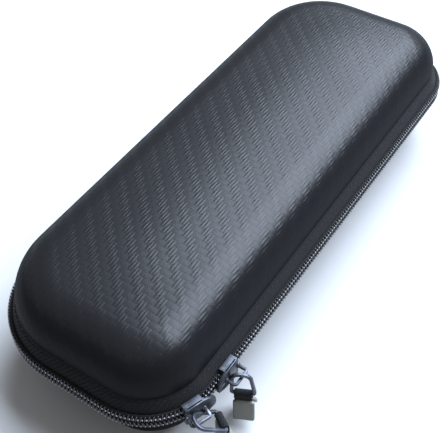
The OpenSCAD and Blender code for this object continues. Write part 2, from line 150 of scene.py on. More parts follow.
class Shader:
    """One material's node tree."""

    def __init__(self, name: str) -> None:
        """Starts an empty material with one Principled shader."""
        self.material = bpy.data.materials.new(name)
        self.material.use_nodes = True
        self.tree = self.material.node_tree
        self.principled = self.tree.nodes["Principled BSDF"]

    def add(
        self,
        kind: str,
        settings: Mapping[str, object] | None = None,
        sockets: Mapping[int | str, object] | None = None,
        output: int | str = 0,
    ) -> Value:
        """Adds a node.

        Args:
            kind: the node's type.
            settings: its properties, with "stops" for a ramp's (place, colour) pairs.
            sockets: its inputs, each a number, a colour or a Value to link.
            output: which output to return.

        Returns:
            That output.
        """
        node = self.tree.nodes.new(kind)
        for key, value in (settings or {}).items():
            if key == "stops":
                ramp = node.color_ramp.elements
                while len(ramp) < len(value):
                    ramp.new(1.0)
                for stop, (place, colour) in zip(ramp, value):
                    stop.position = place
                    stop.color = (*colour, 1.0)
            else:
                setattr(node, key, value)
        for key, value in (sockets or {}).items():
            if isinstance(value, Value):
                self.tree.links.new(value.socket, node.inputs[key])
            else:
                node.inputs[key].default_value = value
        return Value(self, node.outputs[output])

    def place(self, layer: str | None = None) -> tuple[Value, Value, Value]:
        """Reads Object coordinates, or a UV map, in millimetres.

        Args:
            layer: the UV map's name, or None for Object coordinates.

        Returns:
            The three numbers of the point.
        """
        if layer:
            point = self.add("ShaderNodeUVMap", {"uv_map": layer})
        else:
            point = self.add("ShaderNodeTexCoord", output="Object")
        big = self.add("ShaderNodeVectorMath", {"operation": "SCALE"}, {0: point, "Scale": 1000.0})
        parts = [self.add("ShaderNodeSeparateXYZ", None, {0: big}, i) for i in range(3)]
        return parts[0], parts[1], parts[2]

    def vector(self, *parts: Value | float) -> Value:
        """Joins numbers into a vector."""
        return self.add("ShaderNodeCombineXYZ", None, dict(enumerate(parts)))

    def cloud(
        self,
        scale: float,
        detail: float = 2.0,
        stretch: Sequence[float] = (1, 1, 1),
        layer: str | None = None,
    ) -> Value:
        """Noise over the surface.

        Args:
            scale: blobs in a millimetre.
            detail: the noise's octaves.
            stretch: how much finer it is along each axis.
            layer: the UV map to lie on, or None for Object coordinates.

        Returns:
            The noise, from 0 to 1.
        """
        x, y, z = self.place(layer)
        point = self.vector(x * stretch[0], y * stretch[1], z * stretch[2])
        return self.add("ShaderNodeTexNoise", None, {"Vector": point, "Scale": scale, "Detail": detail})

    def blend(self, share: Value, low: Colour, high: Colour) -> Value:
        """Mixes two colours by a share."""
        settings = {"data_type": "RGBA"}
        return self.add("ShaderNodeMix", settings, {0: share, 6: (*low, 1.0), 7: (*high, 1.0)}, 2)

    def set(self, **sockets: object) -> None:
        """Sets or links the Principled shader's sockets, an underscore standing for a space."""
        for key, value in sockets.items():
            target = self.principled.inputs[key.replace("_", " ")]
            if isinstance(value, Value):
                self.tree.links.new(value.socket, target)
            elif isinstance(value, tuple):
                target.default_value = (*value, 1.0)
            else:
                target.default_value = value

    def mix_in_painted_shade(self, share: Value | float, colour: Colour) -> None:
        """Mixes the Principled shader with a matt black one: painted shade that keeps grazing views dark.

        Args:
            share: how much of the Principled shader shows.
            colour: the matt shader's colour.
        """
        matt = self.add("ShaderNodeBsdfDiffuse", None, {"Color": (*colour, 1.0)})
        both = self.add("ShaderNodeMixShader", None, {0: share, 1: matt})
        self.tree.links.new(self.principled.outputs[0], both.socket.node.inputs[2])
        self.tree.links.new(both.socket, self.tree.nodes["Material Output"].inputs["Surface"])

    def bump(self, height: Value, depth: float, strength: float = 1.0) -> None:
        """Raises the surface by a height from 0 to 1 times a depth in millimetres."""
        settings = {"Height": height, "Distance": depth * MM, "Strength": strength}
        self.set(Normal=self.add("ShaderNodeBump", None, settings, "Normal"))


# ---- Finishes ----------------------------------------------------------------------------------

SHEET = "sheet"


@dataclass(frozen=True)
class Finish:
    """What every finish has: a name, a colour and a roughness."""

    name: str
    colour: Colour
    rough: float = 0.6

    def shade(self, colour: Colour, factor: float) -> Colour:
        """A colour made lighter or darker by a factor."""
        return tuple(min(1.0, c * factor) for c in colour)

    def dress(self, shader: Shader) -> None:
        """Adds the finish's own nodes."""
        shader.set(Base_Color=self.colour, Roughness=self.rough)

    def material(self) -> bpy.types.Material:
        """Makes the material once and returns it afterwards."""
        found = bpy.data.materials.get(self.name)
        if found is None:
            shader = Shader(self.name)
            self.dress(shader)
            found = shader.material
        return found


@dataclass(frozen=True)
class CoatedTwill(Finish):
    """Satin coating embossed with a two-over-two twill, with less satin on the walls than on the flat faces by height,
    as painted shade on the walls.
    """

    tow: float = 2.3
    depth: float = 0.07
    specular: float = 0.5
    # The next four give the satin's share on the flat faces and on the walls, the middle line, and the height over it
    # where the share falls: the walls' lower share is painted shade.
    face_share: float = 0.36
    matt: float = 0.17
    middle: float = 24.0
    pressed: float = 19.7
    strands: float = 2.0

    def dress(self, shader: Shader) -> None:
        """Twill, fine strands, a slightly uneven satin, and painted shade on the walls."""
        x, y, _ = shader.place(SHEET)
        wave = shader.cloud(0.05, 1.0, layer=SHEET) * 1.2
        u, v = (x + wave) / self.tow, (y + wave) / self.tow
        i, j = u.floor(), v.floor()
        over = (i - j).wrap(4.0) < 1.5
        along, across = (v - i + 1.0).wrap(4.0) - 1.0, (u - i - 0.5) * 2.0
        warp = (1.0 - along * along * 0.75) * (1.0 - across * across * 0.5)
        along, across = (u - j - 2.0).wrap(4.0) - 1.0, ((v * self.strands).part() - 0.5) * 2.0
        weft = (1.0 - along * along * 0.8) * (1.0 - across * across * 0.7)
        tows = (over * warp * 0.55 + (1.0 - over) * weft).clip()
        grain = shader.cloud(2.4, 3.0, layer=SHEET)
        patch = shader.cloud(0.03, 2.0, layer=SHEET)
        shader.set(
            Base_Color=shader.blend(tows, self.shade(self.colour, 0.65), self.shade(self.colour, 1.35)),
            Roughness=self.rough + (patch - 0.5) * 0.12 + (1.0 - tows) * 0.09 + (grain - 0.5) * 0.12,
            Specular_IOR_Level=self.specular,
        )
        shader.bump(tows + grain * 0.22, self.depth)
        # Painted shade: by height over the middle line, the walls show less satin and more of a darker matt shader than
        # the flat faces, so they stay dark.
        _, _, z = shader.place()
        pressed = (((z - self.middle).size() - self.pressed + (tows - 0.5) * 1.2 + (grain - 0.5) * 1.6) / 1.8).clip()
        shader.mix_in_painted_shade(self.matt + pressed * (self.face_share - self.matt), self.shade(self.colour, 0.8))


@dataclass(frozen=True)
class Woven(Finish):
    """Cloth woven from two sets of threads on its own UV map."""

    pitch: tuple[float, float] = (0.7, 0.7)
    depth: float = 0.12
    contrast: float = 0.45
    slant: float = 0.0

    def dress(self, shader: Shader) -> None:
        """Threads, their shading, and a little lint."""
        x, y, _ = shader.place(SHEET)
        u = (x + y * self.slant) / self.pitch[0]
        v = y / self.pitch[1]
        over = (u.floor() + v.floor()).wrap(2.0) < 0.5
        a, b = (u.part() - 0.5).size() * 2.0, (v.part() - 0.5).size() * 2.0
        height = over * (1.0 - a * a) + (1.0 - over) * (1.0 - b * b)
        lint = shader.cloud(1.1, 3.0, layer=SHEET)
        low, high = self.shade(self.colour, 1 - self.contrast), self.shade(self.colour, 1 + self.contrast)
        shader.set(
            Base_Color=shader.blend((height * 0.75 + (lint - 0.35) * 0.6).clip(), low, high),
            Roughness=self.rough + (lint - 0.5) * 0.1,
            Sheen_Weight=0.04,
            Specular_IOR_Level=0.14,
        )
        shader.bump(height + lint * 0.4, self.depth)


@dataclass(frozen=True)
class Knit(Finish):
    """Fine warp knit, with rows of small loops."""

    pitch: float = 0.9
    depth: float = 0.1

    def dress(self, shader: Shader) -> None:
        """Columns of loops that lean left and right in turn."""
        x, y, _ = shader.place(SHEET)
        u = x / self.pitch
        lean = (u.part() - 0.5).size() * 1.4
        loops = ((y / (self.pitch * 0.8) + lean).part() * math.tau).sine() * 0.5 + 0.5
        wale = 1.0 - ((u.part() - 0.5) * 2.0) ** 2.0
        lint = shader.cloud(0.8, 3.0, layer=SHEET)
        height = loops * 0.5 + wale * 0.5
        low, high = self.shade(self.colour, 0.6), self.shade(self.colour, 1.35)
        shader.set(
            Base_Color=shader.blend((height * 0.7 + (lint - 0.35) * 0.6).clip(), low, high),
            Roughness=self.rough,
            Sheen_Weight=0.3,
        )
        shader.bump(height + lint * 0.3, self.depth)


@dataclass(frozen=True)
class OpenMesh(Finish):
    """Power mesh: threads round open holes."""

    pitch: float = 1.7
    hole: float = 0.3

    def dress(self, shader: Shader) -> None:
        """Round holes in staggered rows."""
        x, y, _ = shader.place(SHEET)
        row = (y / (self.pitch * 0.87)).floor()
        u = (x / self.pitch + row * 0.5).part() - 0.5
        v = (y / (self.pitch * 0.87)).part() - 0.5
        away = (u * u + v * v * 0.8) ** 0.5
        thread = (away > self.hole)
        ridge = (away * 2.0).clip()
        shader.set(
            Base_Color=shader.blend(ridge, self.shade(self.colour, 0.6), self.shade(self.colour, 1.5)),
            Roughness=self.rough,
            Alpha=thread,
        )
        shader.bump(ridge, 0.15)


@dataclass(frozen=True)
class CastMetal(Finish):
    """Plated die casting: soft waves, fine scratches, and bright worn patches."""

    worn: Colour = (0.75, 0.78, 0.82)
    metal: float = 0.85
    wear: float = 0.35

    def dress(self, shader: Shader) -> None:
        """Plating with wear where the surface is rubbed."""
        soft = shader.cloud(0.35, 3.0)
        fine = shader.cloud(1.6, 4.0, (1.0, 6.0, 1.0))
        rubbed = ((soft - 0.5) * 6.0 + (fine - 0.5) * 3.0).clip() * self.wear
        shader.set(
            Base_Color=shader.blend(rubbed, self.colour, self.worn),
            Roughness=self.rough + (fine - 0.5) * 0.25,
            Metallic=self.metal,
        )
        shader.bump(fine * 0.5 + soft, 0.03)


@dataclass(frozen=True)
class Moulded(Finish):
    """Moulded plastic or rubber with a fine grain."""

    grain: float = 1.2
    depth: float = 0.04
    specular: float = 0.5
    tint: float = 0.2

    def dress(self, shader: Shader) -> None:
        """Grain and a slow change of colour."""
        grain = shader.cloud(self.grain, 4.0)
        slow = shader.cloud(0.08, 2.0)
        low, high = self.shade(self.colour, 1 - self.tint), self.shade(self.colour, 1 + self.tint)
        shader.set(
            Base_Color=shader.blend((slow * 0.6 + grain * 0.4).clip(), low, high),
            Roughness=self.rough + (grain - 0.5) * 0.15,
            Specular_IOR_Level=self.specular,
        )
        shader.bump(grain, self.depth)


@dataclass(frozen=True)
class Anodised(Finish):
    """Turned and anodised metal with faint turning rings across its length."""

    metal: float = 0.9

    def dress(self, shader: Shader) -> None:
        """Turning rings and slow colour change."""
        rings = shader.cloud(1.0, 3.0, (9.0, 0.2, 0.2))
        slow = shader.cloud(0.05, 2.0)
        low, high = self.shade(self.colour, 0.85), self.shade(self.colour, 1.15)
        shader.set(
            Base_Color=shader.blend(slow, low, high),
            Roughness=self.rough + (rings - 0.5) * 0.16,
            Metallic=self.metal,
        )
        shader.bump(rings, 0.012)


@dataclass(frozen=True)
class PaleFloor(Finish):
    """Pale board that falls off to a soft grey away from its middle: a painted falloff of light away from the case."""

    near: float = 260.0
    far: float = 700.0
    edge: float = 0.34

    def dress(self, shader: Shader) -> None:
        """Darkens the board by its distance from the middle, as painted shade."""
        x, y, _ = shader.place()
        away = (((x * x + y * y) ** 0.5 - self.near) / (self.far - self.near)).clip()
        shader.set(Base_Color=shader.blend(away, self.colour, self.shade(self.colour, self.edge)), Roughness=self.rough)


class Palette(Enum):
    """The finishes that the pieces wear."""

    SKIN = CoatedTwill("coated_twill", (0.0075, 0.0078, 0.0088), 0.30)
    FOAM = Moulded("closed_foam", (0.035, 0.035, 0.037), 0.9, 2.5, 0.12, 0.2)
    LINING = Knit("lining_knit", (0.060, 0.062, 0.068), 0.9)
    TAPE = Woven("zip_tape_weave", (0.0055, 0.0056, 0.0062), 0.85, (0.9, 0.62), 0.12, 0.5, 0.6)
    CORE = Woven("coil_core", (0.006, 0.006, 0.007), 0.8, (0.5, 0.5), 0.08)
    NYLON = Moulded("coil_nylon", (0.012, 0.012, 0.013), 0.28, 2.0, 0.01, 0.7)
    # Pale thread for the boards' borders and the coil; on the coil it is partly real thread and partly a painted
    # highlight for the glints on the coil's turns.
    PALE_THREAD_AND_GLINT = Woven("pale_thread_and_glint", (0.34, 0.35, 0.37), 0.7, (0.3, 0.3), 0.03, 0.3)
    DARK_THREAD = Woven("dark_thread", (0.012, 0.012, 0.014), 0.7, (0.3, 0.3), 0.03, 0.3)
    BINDING = Woven("binding_weave", (0.012, 0.012, 0.014), 0.85, (0.6, 0.6), 0.1, 0.4, 0.5)
    SLIDER = CastMetal("gun_metal", (0.040, 0.044, 0.052), 0.45, (0.17, 0.18, 0.20), 0.85, 0.45)
    RING = CastMetal("light_plating", (0.055, 0.063, 0.080), 0.42, (0.20, 0.22, 0.26), 0.8, 0.4)
    WEBBING = Woven("strap_weave", (0.006, 0.0063, 0.0075), 0.8, (0.8, 0.5), 0.12, 0.5)
    RUBBER = Moulded("tail_rubber", (0.030, 0.028, 0.023), 0.60, 1.4, 0.08, 0.3, 0.3)
    BOARD = Knit("board_cloth", (0.085, 0.087, 0.094), 0.9, 0.7, 0.08)
    ELASTIC = Woven("elastic_weave", (0.014, 0.014, 0.016), 0.85, (0.5, 0.9), 0.14, 0.5)
    MESH = OpenMesh("pocket_mesh", (0.016, 0.016, 0.018), 0.8)
    CABLE = Moulded("cable_plastic", (0.30, 0.38, 0.45), 0.25, 1.0, 0.01, 0.6, 0.08)
    CABLE_OLIVE = Moulded("cable_olive", (0.30, 0.33, 0.20), 0.25, 1.0, 0.01, 0.6, 0.08)
    BRIGHT = Anodised("polished_steel", (0.66, 0.67, 0.69), 0.16, 1.0)
    GAUGE = Anodised("gauge_aluminium", (0.42, 0.44, 0.47), 0.38, 0.9)
    STOPPER = Moulded("stopper_plastic", (0.05, 0.13, 0.46), 0.35, 1.5, 0.02)
    MARKER = Moulded("marker_plastic", (0.58, 0.12, 0.28), 0.3, 1.5, 0.02)


# ---- Mesh making -------------------------------------------------------------------------------


@dataclass(frozen=True)
class Case:
    """The case's own sizes, in millimetres."""

    length: float = 220.0
    width: float = 86.0
    half: float = 24.0
    front_r: float = 25.0
    hinge_r: float = 35.0
    wall: float = 4.2
    edge_r: float = 15.0
    band: float = 8.0
    skin: float = 0.8
    laminate: float = 4.6
    crown: float = 1.3

    @property
    def flat(self) -> float:
        """Inset of the flat face from the zip's outline."""
        return self.wall + self.edge_r

    @property
    def spine(self) -> float:
        """Length of the straight spine."""
        return self.length - 2 * self.hinge_r

    @property
    def side(self) -> float:
        """Length of the straight part of an end."""
        return self.width - self.hinge_r - self.front_r

    @property
    def front(self) -> float:
        """Length of the straight part of the front."""
        return self.length - 2 * self.front_r

    def starts(self) -> list[float]:
        """Where each bend and straight of the outline starts, round from the spine's -X end."""
        bend, turn = self.hinge_r * math.pi / 2, self.front_r * math.pi / 2
        lengths = [bend, self.side, turn, self.front, turn, self.side, bend]
        return [sum(lengths[:i]) for i in range(8)]

    def at(self, along: float) -> tuple[Vector, Vector]:
        """A point of the zip's outline, and the outward direction there.

        Args:
            along: distance round the outline from the spine's -X end.

        Returns:
            The point and the direction.
        """
        starts = self.starts()
        part = max(i for i in range(7) if starts[i] <= max(0.0, along))
        left = along - starts[part]
        low, high = -self.width / 2 + self.front_r, self.width / 2 - self.hinge_r
        if part == 1:
            return Vector((-self.length / 2, high - left, 0)), Vector((-1, 0, 0))
        if part == 3:
            return Vector((-self.front / 2 + left, -self.width / 2, 0)), Vector((0, -1, 0))
        if part == 5:
            return Vector((self.length / 2, low + left, 0)), Vector((1, 0, 0))
        centre = {
            0: (-self.spine / 2, high),
            2: (-self.front / 2, low),
            4: (self.front / 2, low),
            6: (self.spine / 2, high),
        }[part]
        radius = self.hinge_r if part in (0, 6) else self.front_r
        turn = {0: 0.5, 2: 1.0, 4: 1.5, 6: 0.0}[part] * math.pi + left / radius
        out = Vector((math.cos(turn), math.sin(turn), 0))
        return Vector((*centre, 0)) + out * radius, out

    def nearest(self, x: float, y: float) -> tuple[float, Vector]:
        """Where a point lies round the zip's outline.

        Args:
            x: along the case.
            y: across it.

        Returns:
            The distance round the outline from the spine's -X end, and the outward direction.
        """
        left, right = -self.length / 2, self.length / 2
        low, high = -self.width / 2, self.width / 2
        quarter = math.pi / 2
        front, starts = self.front, self.starts()
        if y > high - self.hinge_r and abs(x) > self.spine / 2:
            cx, cy, r = math.copysign(self.spine / 2, x), high - self.hinge_r, self.hinge_r
            turn = math.atan2(y - cy, x - cx)
            swept = (turn - quarter if x < 0 else turn) * r
            out = Vector((math.cos(turn), math.sin(turn), 0))
            return (starts[0] + swept if x < 0 else starts[6] + swept), out
        if y < low + self.front_r and abs(x) > front / 2:
            cx, cy, r = math.copysign(front / 2, x), low + self.front_r, self.front_r
            turn = math.atan2(y - cy, x - cx) % math.tau
            swept = (turn - math.pi if x < 0 else turn - 3 * quarter) * r
            out = Vector((math.cos(turn), math.sin(turn), 0))
            return (starts[2] + swept if x < 0 else starts[4] + swept), out
        gaps = {"left": x - left, "right": right - x, "front": y - low, "back": high - y}
        where = min(gaps, key=gaps.get)
        if where == "left":
            return starts[1] + high - self.hinge_r - y, Vector((-1, 0, 0))
        if where == "right":
            return starts[5] + y - low - self.front_r, Vector((1, 0, 0))
        if where == "front":
            return starts[3] + x + front / 2, Vector((0, -1, 0))
        return starts[7] + self.spine / 2 - x, Vector((0, 1, 0))


CASE = Case()


class Shape:
    """A bmesh in millimetres that becomes one named piece."""

    def __init__(self, name: str) -> None:
        """Starts an empty shape."""
        self.name = name
        self.bm = bmesh.new()

    def points(self, places: Iterable[Sequence[float]]) -> list[bmesh.types.BMVert]:
        """Adds a few vertices."""
        return [self.bm.verts.new(p) for p in places]

    def line(self, places: Sequence[Sequence[float]], closed: bool = False) -> list[bmesh.types.BMEdge]:
        """Adds a line of vertices and its edges."""
        verts = self.points(places)
        pairs = list(zip(verts, verts[1:])) + ([(verts[-1], verts[0])] if closed else [])
        return [self.bm.edges.new(pair) for pair in pairs]

    def face(self, places: Sequence[Sequence[float]]) -> bmesh.types.BMFace:
        """Adds one flat face from its corners."""
        return self.bm.faces.new(self.points(places))

    def run(self, edges: list[bmesh.types.BMEdge], way: Vector, length: float, steps: int) -> list[bmesh.types.BMEdge]:
        """Extrudes edges in a straight line.

        Args:
            edges: what is extruded.
            way: the direction.
            length: how far.
            steps: in how many steps.

        Returns:
            The edges at the far end.
        """
        for _ in range(steps):
            made = bmesh.ops.extrude_edge_only(self.bm, edges=edges)["geom"]
            verts = [g for g in made if isinstance(g, bmesh.types.BMVert)]
            bmesh.ops.translate(self.bm, verts=verts, vec=way * (length / steps))
            edges = self.edges_in(verts, made)
        return edges

    def edges_in(self, verts: list[bmesh.types.BMVert], made: Iterable[object]) -> list[bmesh.types.BMEdge]:
        """The edges, among what was made, whose two ends are both in verts."""
        inside = set(verts)
        return [g for g in made if isinstance(g, bmesh.types.BMEdge) and set(g.verts) <= inside]

    def turn(
        self,
        edges: list[bmesh.types.BMEdge],
        centre: Sequence[float],
        degrees: float,
        steps: int,
        axis: Sequence[float] = (0, 0, 1),
    ) -> list[bmesh.types.BMEdge]:
        """Spins edges about an axis.

        Args:
            edges: what is spun.
            centre: a point on the axis.
            degrees: how far, counter-clockwise.
            steps: in how many steps.
            axis: the axis.

        Returns:
            The edges at the far end.
        """
        verts = list({v for e in edges for v in e.verts})
        full = abs(degrees) >= 360
        made = bmesh.ops.spin(
            self.bm, geom=verts + edges, cent=centre, axis=axis, dvec=(0, 0, 0),
            angle=math.radians(degrees), space=Matrix(), steps=steps, use_merge=full,
            use_normal_flip=False, use_duplicate=False,
        )["geom_last"]
        last = [g for g in made if isinstance(g, bmesh.types.BMVert)]
        return self.edges_in(last, made)

    def round(self, edges: list[bmesh.types.BMEdge], width: float, segments: int = 2) -> None:
        """Bevels edges."""
        bmesh.ops.bevel(
            self.bm, geom=edges, offset=width, offset_type="OFFSET", affect="EDGES",
            segments=segments, profile=0.5, material=-1, clamp_overlap=True,
        )

    def round_corners(self, verts: list[bmesh.types.BMVert], radius: float, segments: int = 6) -> None:
        """Rounds a flat face's corners."""
        bmesh.ops.bevel(
            self.bm, geom=verts, offset=radius, offset_type="OFFSET", affect="VERTICES",
            segments=segments, profile=0.5, material=-1, clamp_overlap=True,
        )

    def sharp(self, degrees: float = 40.0) -> list[bmesh.types.BMEdge]:
        """The edges that turn by more than an angle."""
        limit = math.radians(degrees)
        return [e for e in self.bm.edges if len(e.link_faces) == 2 and e.calc_face_angle(0) > limit]

    def thicken(self, way: Sequence[float]) -> None:
        """Extrudes every face by a vector into a closed solid."""
        made = bmesh.ops.extrude_face_region(self.bm, geom=list(self.bm.faces), use_keep_orig=True)["geom"]
        bmesh.ops.translate(self.bm, verts=[g for g in made if isinstance(g, bmesh.types.BMVert)], vec=way)
        self.outwards()

    def outwards(self) -> None:
        """Merges doubles and turns every face outwards."""
        bmesh.ops.remove_doubles(self.bm, verts=self.bm.verts, dist=0.002)
        bmesh.ops.recalc_face_normals(self.bm, faces=self.bm.faces)

    def move(self, matrix: Matrix) -> "Shape":
        """Transforms everything."""
        bmesh.ops.transform(self.bm, matrix=matrix, verts=self.bm.verts)
        return self

    def push(self, change: Callable[[Vector], Vector]) -> "Shape":
        """Moves every vertex by a rule."""
        for vert in self.bm.verts:
            vert.co = change(vert.co)
        return self

    def join(self, other: "Shape") -> "Shape":
        """Adds another shape's faces to this one."""
        mesh = bpy.data.meshes.new("joining")
        other.bm.to_mesh(mesh)
        self.bm.from_mesh(mesh)
        other.bm.free()
        bpy.data.meshes.remove(mesh)
        return self

    def lay(self, rule: Callable[[Vector], Point2]) -> "Shape":
        """Gives the sheet UV map to every face, in millimetres, by a rule of place."""
        layer = self.bm.loops.layers.uv.get(SHEET) or self.bm.loops.layers.uv.new(SHEET)
        for one in self.bm.faces:
            for loop in one.loops:
                loop[layer].uv = [c * MM for c in rule(loop.vert.co)]
        return self

    def done(
        self,
        finish: Palette,
        body: str,
        slot: str,
        replaces: Sequence[str] = (),
        soft: float = 35.0,
    ) -> bpy.types.Object:
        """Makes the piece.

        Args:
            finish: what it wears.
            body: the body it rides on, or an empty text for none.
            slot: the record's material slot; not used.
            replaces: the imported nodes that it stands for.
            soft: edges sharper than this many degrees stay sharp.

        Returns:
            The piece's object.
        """
        self.move(Matrix.Scale(MM, 4))
        mesh = bpy.data.meshes.new(self.name)
        self.bm.to_mesh(mesh)
        self.bm.free()
        mesh.shade_smooth()
        mesh.set_sharp_from_angle(angle=math.radians(soft))
        piece = bpy.data.objects.new(self.name, mesh)
        bpy.context.scene.collection.objects.link(piece)
        mesh.materials.append(finish.value.material())
        if body:
            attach(piece, body)
        if replaces:
            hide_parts(*replaces)
        log.info("%s: %d faces", self.name, len(mesh.polygons))
        return piece


def modifier(piece: bpy.types.Object, kind: str, **settings: object) -> None:
    """Adds a modifier with its settings."""
    added = piece.modifiers.new(kind.lower(), kind)
    for key, value in settings.items():
        setattr(added, key, value)


def sweep(
    shape: Shape,
    profile: Sequence[Point2],
    closed: bool,
    whole: bool,
    up: int = 1,
    step: float = 7.0,
    bends: int = 14,
) -> None:
    """Runs a profile round the zip's outline, or the whole outline.

    Args:
        shape: where the faces go.
        profile: inset and height over the zip's middle line.
        closed: whether the profile is a closed loop.
        whole: whether the spine is included.
        up: 1 on the lid, -1 on the base.
        step: length of the faces on straight runs.
        bends: faces in each corner.
    """
    c = CASE
    top, low = c.width / 2, -c.width / 2 + c.front_r
    start = [(-c.spine / 2, top - inset, c.half + up * height) for inset, height in profile]
    first = shape.line(start, closed)
    side = top - c.hinge_r - low
    front = c.length - 2 * c.front_r
    edges = shape.turn(first, (-c.spine / 2, top - c.hinge_r, 0), 90, bends)
    edges = shape.run(edges, Vector((0, -1, 0)), side, max(1, round(side / step)))
    edges = shape.turn(edges, (-front / 2, low, 0), 90, bends)
    edges = shape.run(edges, Vector((1, 0, 0)), front, max(1, round(front / step)))
    edges = shape.turn(edges, (front / 2, low, 0), 90, bends)
    edges = shape.run(edges, Vector((0, 1, 0)), side, max(1, round(side / step)))
    edges = shape.turn(edges, (c.spine / 2, top - c.hinge_r, 0), 90, bends)
    if whole:
        shape.run(edges, Vector((-1, 0, 0)), c.spine, max(1, round(c.spine / step)))
    elif closed:
        bmesh.ops.contextual_create(shape.bm, geom=first)
        bmesh.ops.contextual_create(shape.bm, geom=edges)
    shape.outwards()


def round_the_case(co: Vector) -> Point2:
    """UV rule of the zip's cloth: distance round the case, and height with inset."""
    along, out = CASE.nearest(co.x, co.y)
    inset = CASE.width / 2 - abs(co.y) if abs(out.y) > 0.9 else CASE.length / 2 - abs(co.x)
    return along, co.z + max(0.0, min(inset, 12.0)) * 0.5


def sheet_over(co: Vector) -> Point2:
    """UV rule of a cloth laid over the moulded half: flat on the face, unrolled down the walls."""
    c = CASE
    _, out = c.nearest(co.x, co.y)
    height = abs(co.z - c.half)
    drop = min(1.0, max(0.0, (height - (c.half - c.edge_r)) / c.edge_r))
    turn = math.acos(drop)
    if height > c.half - 0.02:
        turn = 0.0
    wall = max(0.0, c.half - c.edge_r - height)
    extra = c.edge_r * turn + wall - c.edge_r * math.sin(turn)
    return co.x + out.x * extra, co.y + out.y * extra


def copies(shape: Shape, template: Shape, places: Iterable[Matrix]) -> None:
    """Adds a small shape at many places."""
    mesh = bpy.data.meshes.new("repeated")
    template.bm.to_mesh(mesh)
    template.bm.free()
    for place in places:
        mesh.transform(place)
        shape.bm.from_mesh(mesh)
        mesh.transform(place.inverted())
    bpy.data.meshes.remove(mesh)


def facing(point: Vector, out: Vector, height: float) -> Matrix:
    """A frame on the zip's outline: x round the case, y inwards, z up."""
    inward = -out
    along = inward.cross(Vector((0, 0, 1)))
    turn = Matrix((along, inward, (0, 0, 1))).transposed().to_4x4()
    return Matrix.Translation((point.x, point.y, height)) @ turn


def bead(length: float, width: float, height: float, sides: int = 8, rings: int = 4) -> Shape:
    """A small closed bead."""
    shape = Shape("bead")
    bmesh.ops.create_uvsphere(shape.bm, u_segments=sides, v_segments=rings, radius=0.5)
    return shape.move(Matrix.Diagonal((length, width, height, 1)))


def cut_grid(shape: Shape, pitch: float, reach: tuple[float, float]) -> None:
    """Cuts the flat faces into a grid, so that they can be shaped."""
    for axis in (0, 1):
        count = int(reach[axis] * 2 / pitch)
        for i in range(count + 1):
            spot, normal = [0.0, 0.0, 0.0], [0.0, 0.0, 0.0]
            spot[axis], normal[axis] = -reach[axis] + i * pitch, 1.0
            flat = [f for f in shape.bm.faces if len(f.verts) > 3 and abs(f.normal.z) > 0.99]
            geom = list({g for f in flat for g in (*f.verts, *f.edges)}) + flat
            bmesh.ops.bisect_plane(shape.bm, geom=geom, plane_co=spot, plane_no=normal, dist=0.001)


def plate(name: str, inset: float, height: float, thick: float, edge: float) -> Shape:
    """A board with the case's own plan at an inset.

    Args:
        name: the piece's name.
        inset: from the zip's outline.
        height: of its underside.
        thick: its thickness.
        edge: width of its rounded edges.

    Returns:
        The board.
    """
    c = CASE
    x, y = c.length / 2 - inset, c.width / 2 - inset
    shape = Shape(name)
    shape.face([(-x, -y, height), (x, -y, height), (x, y, height), (-x, y, height)])
    front = [v for v in shape.bm.verts if v.co.y < 0]
    shape.round_corners(front, c.front_r - inset, 8)
    back = [v for v in shape.bm.verts if v.co.y > y - 0.01]
    shape.round_corners(back, c.hinge_r - inset, 8)
    shape.thicken((0, 0, thick))
    shape.round(shape.sharp(60), edge, 2)
    return shape


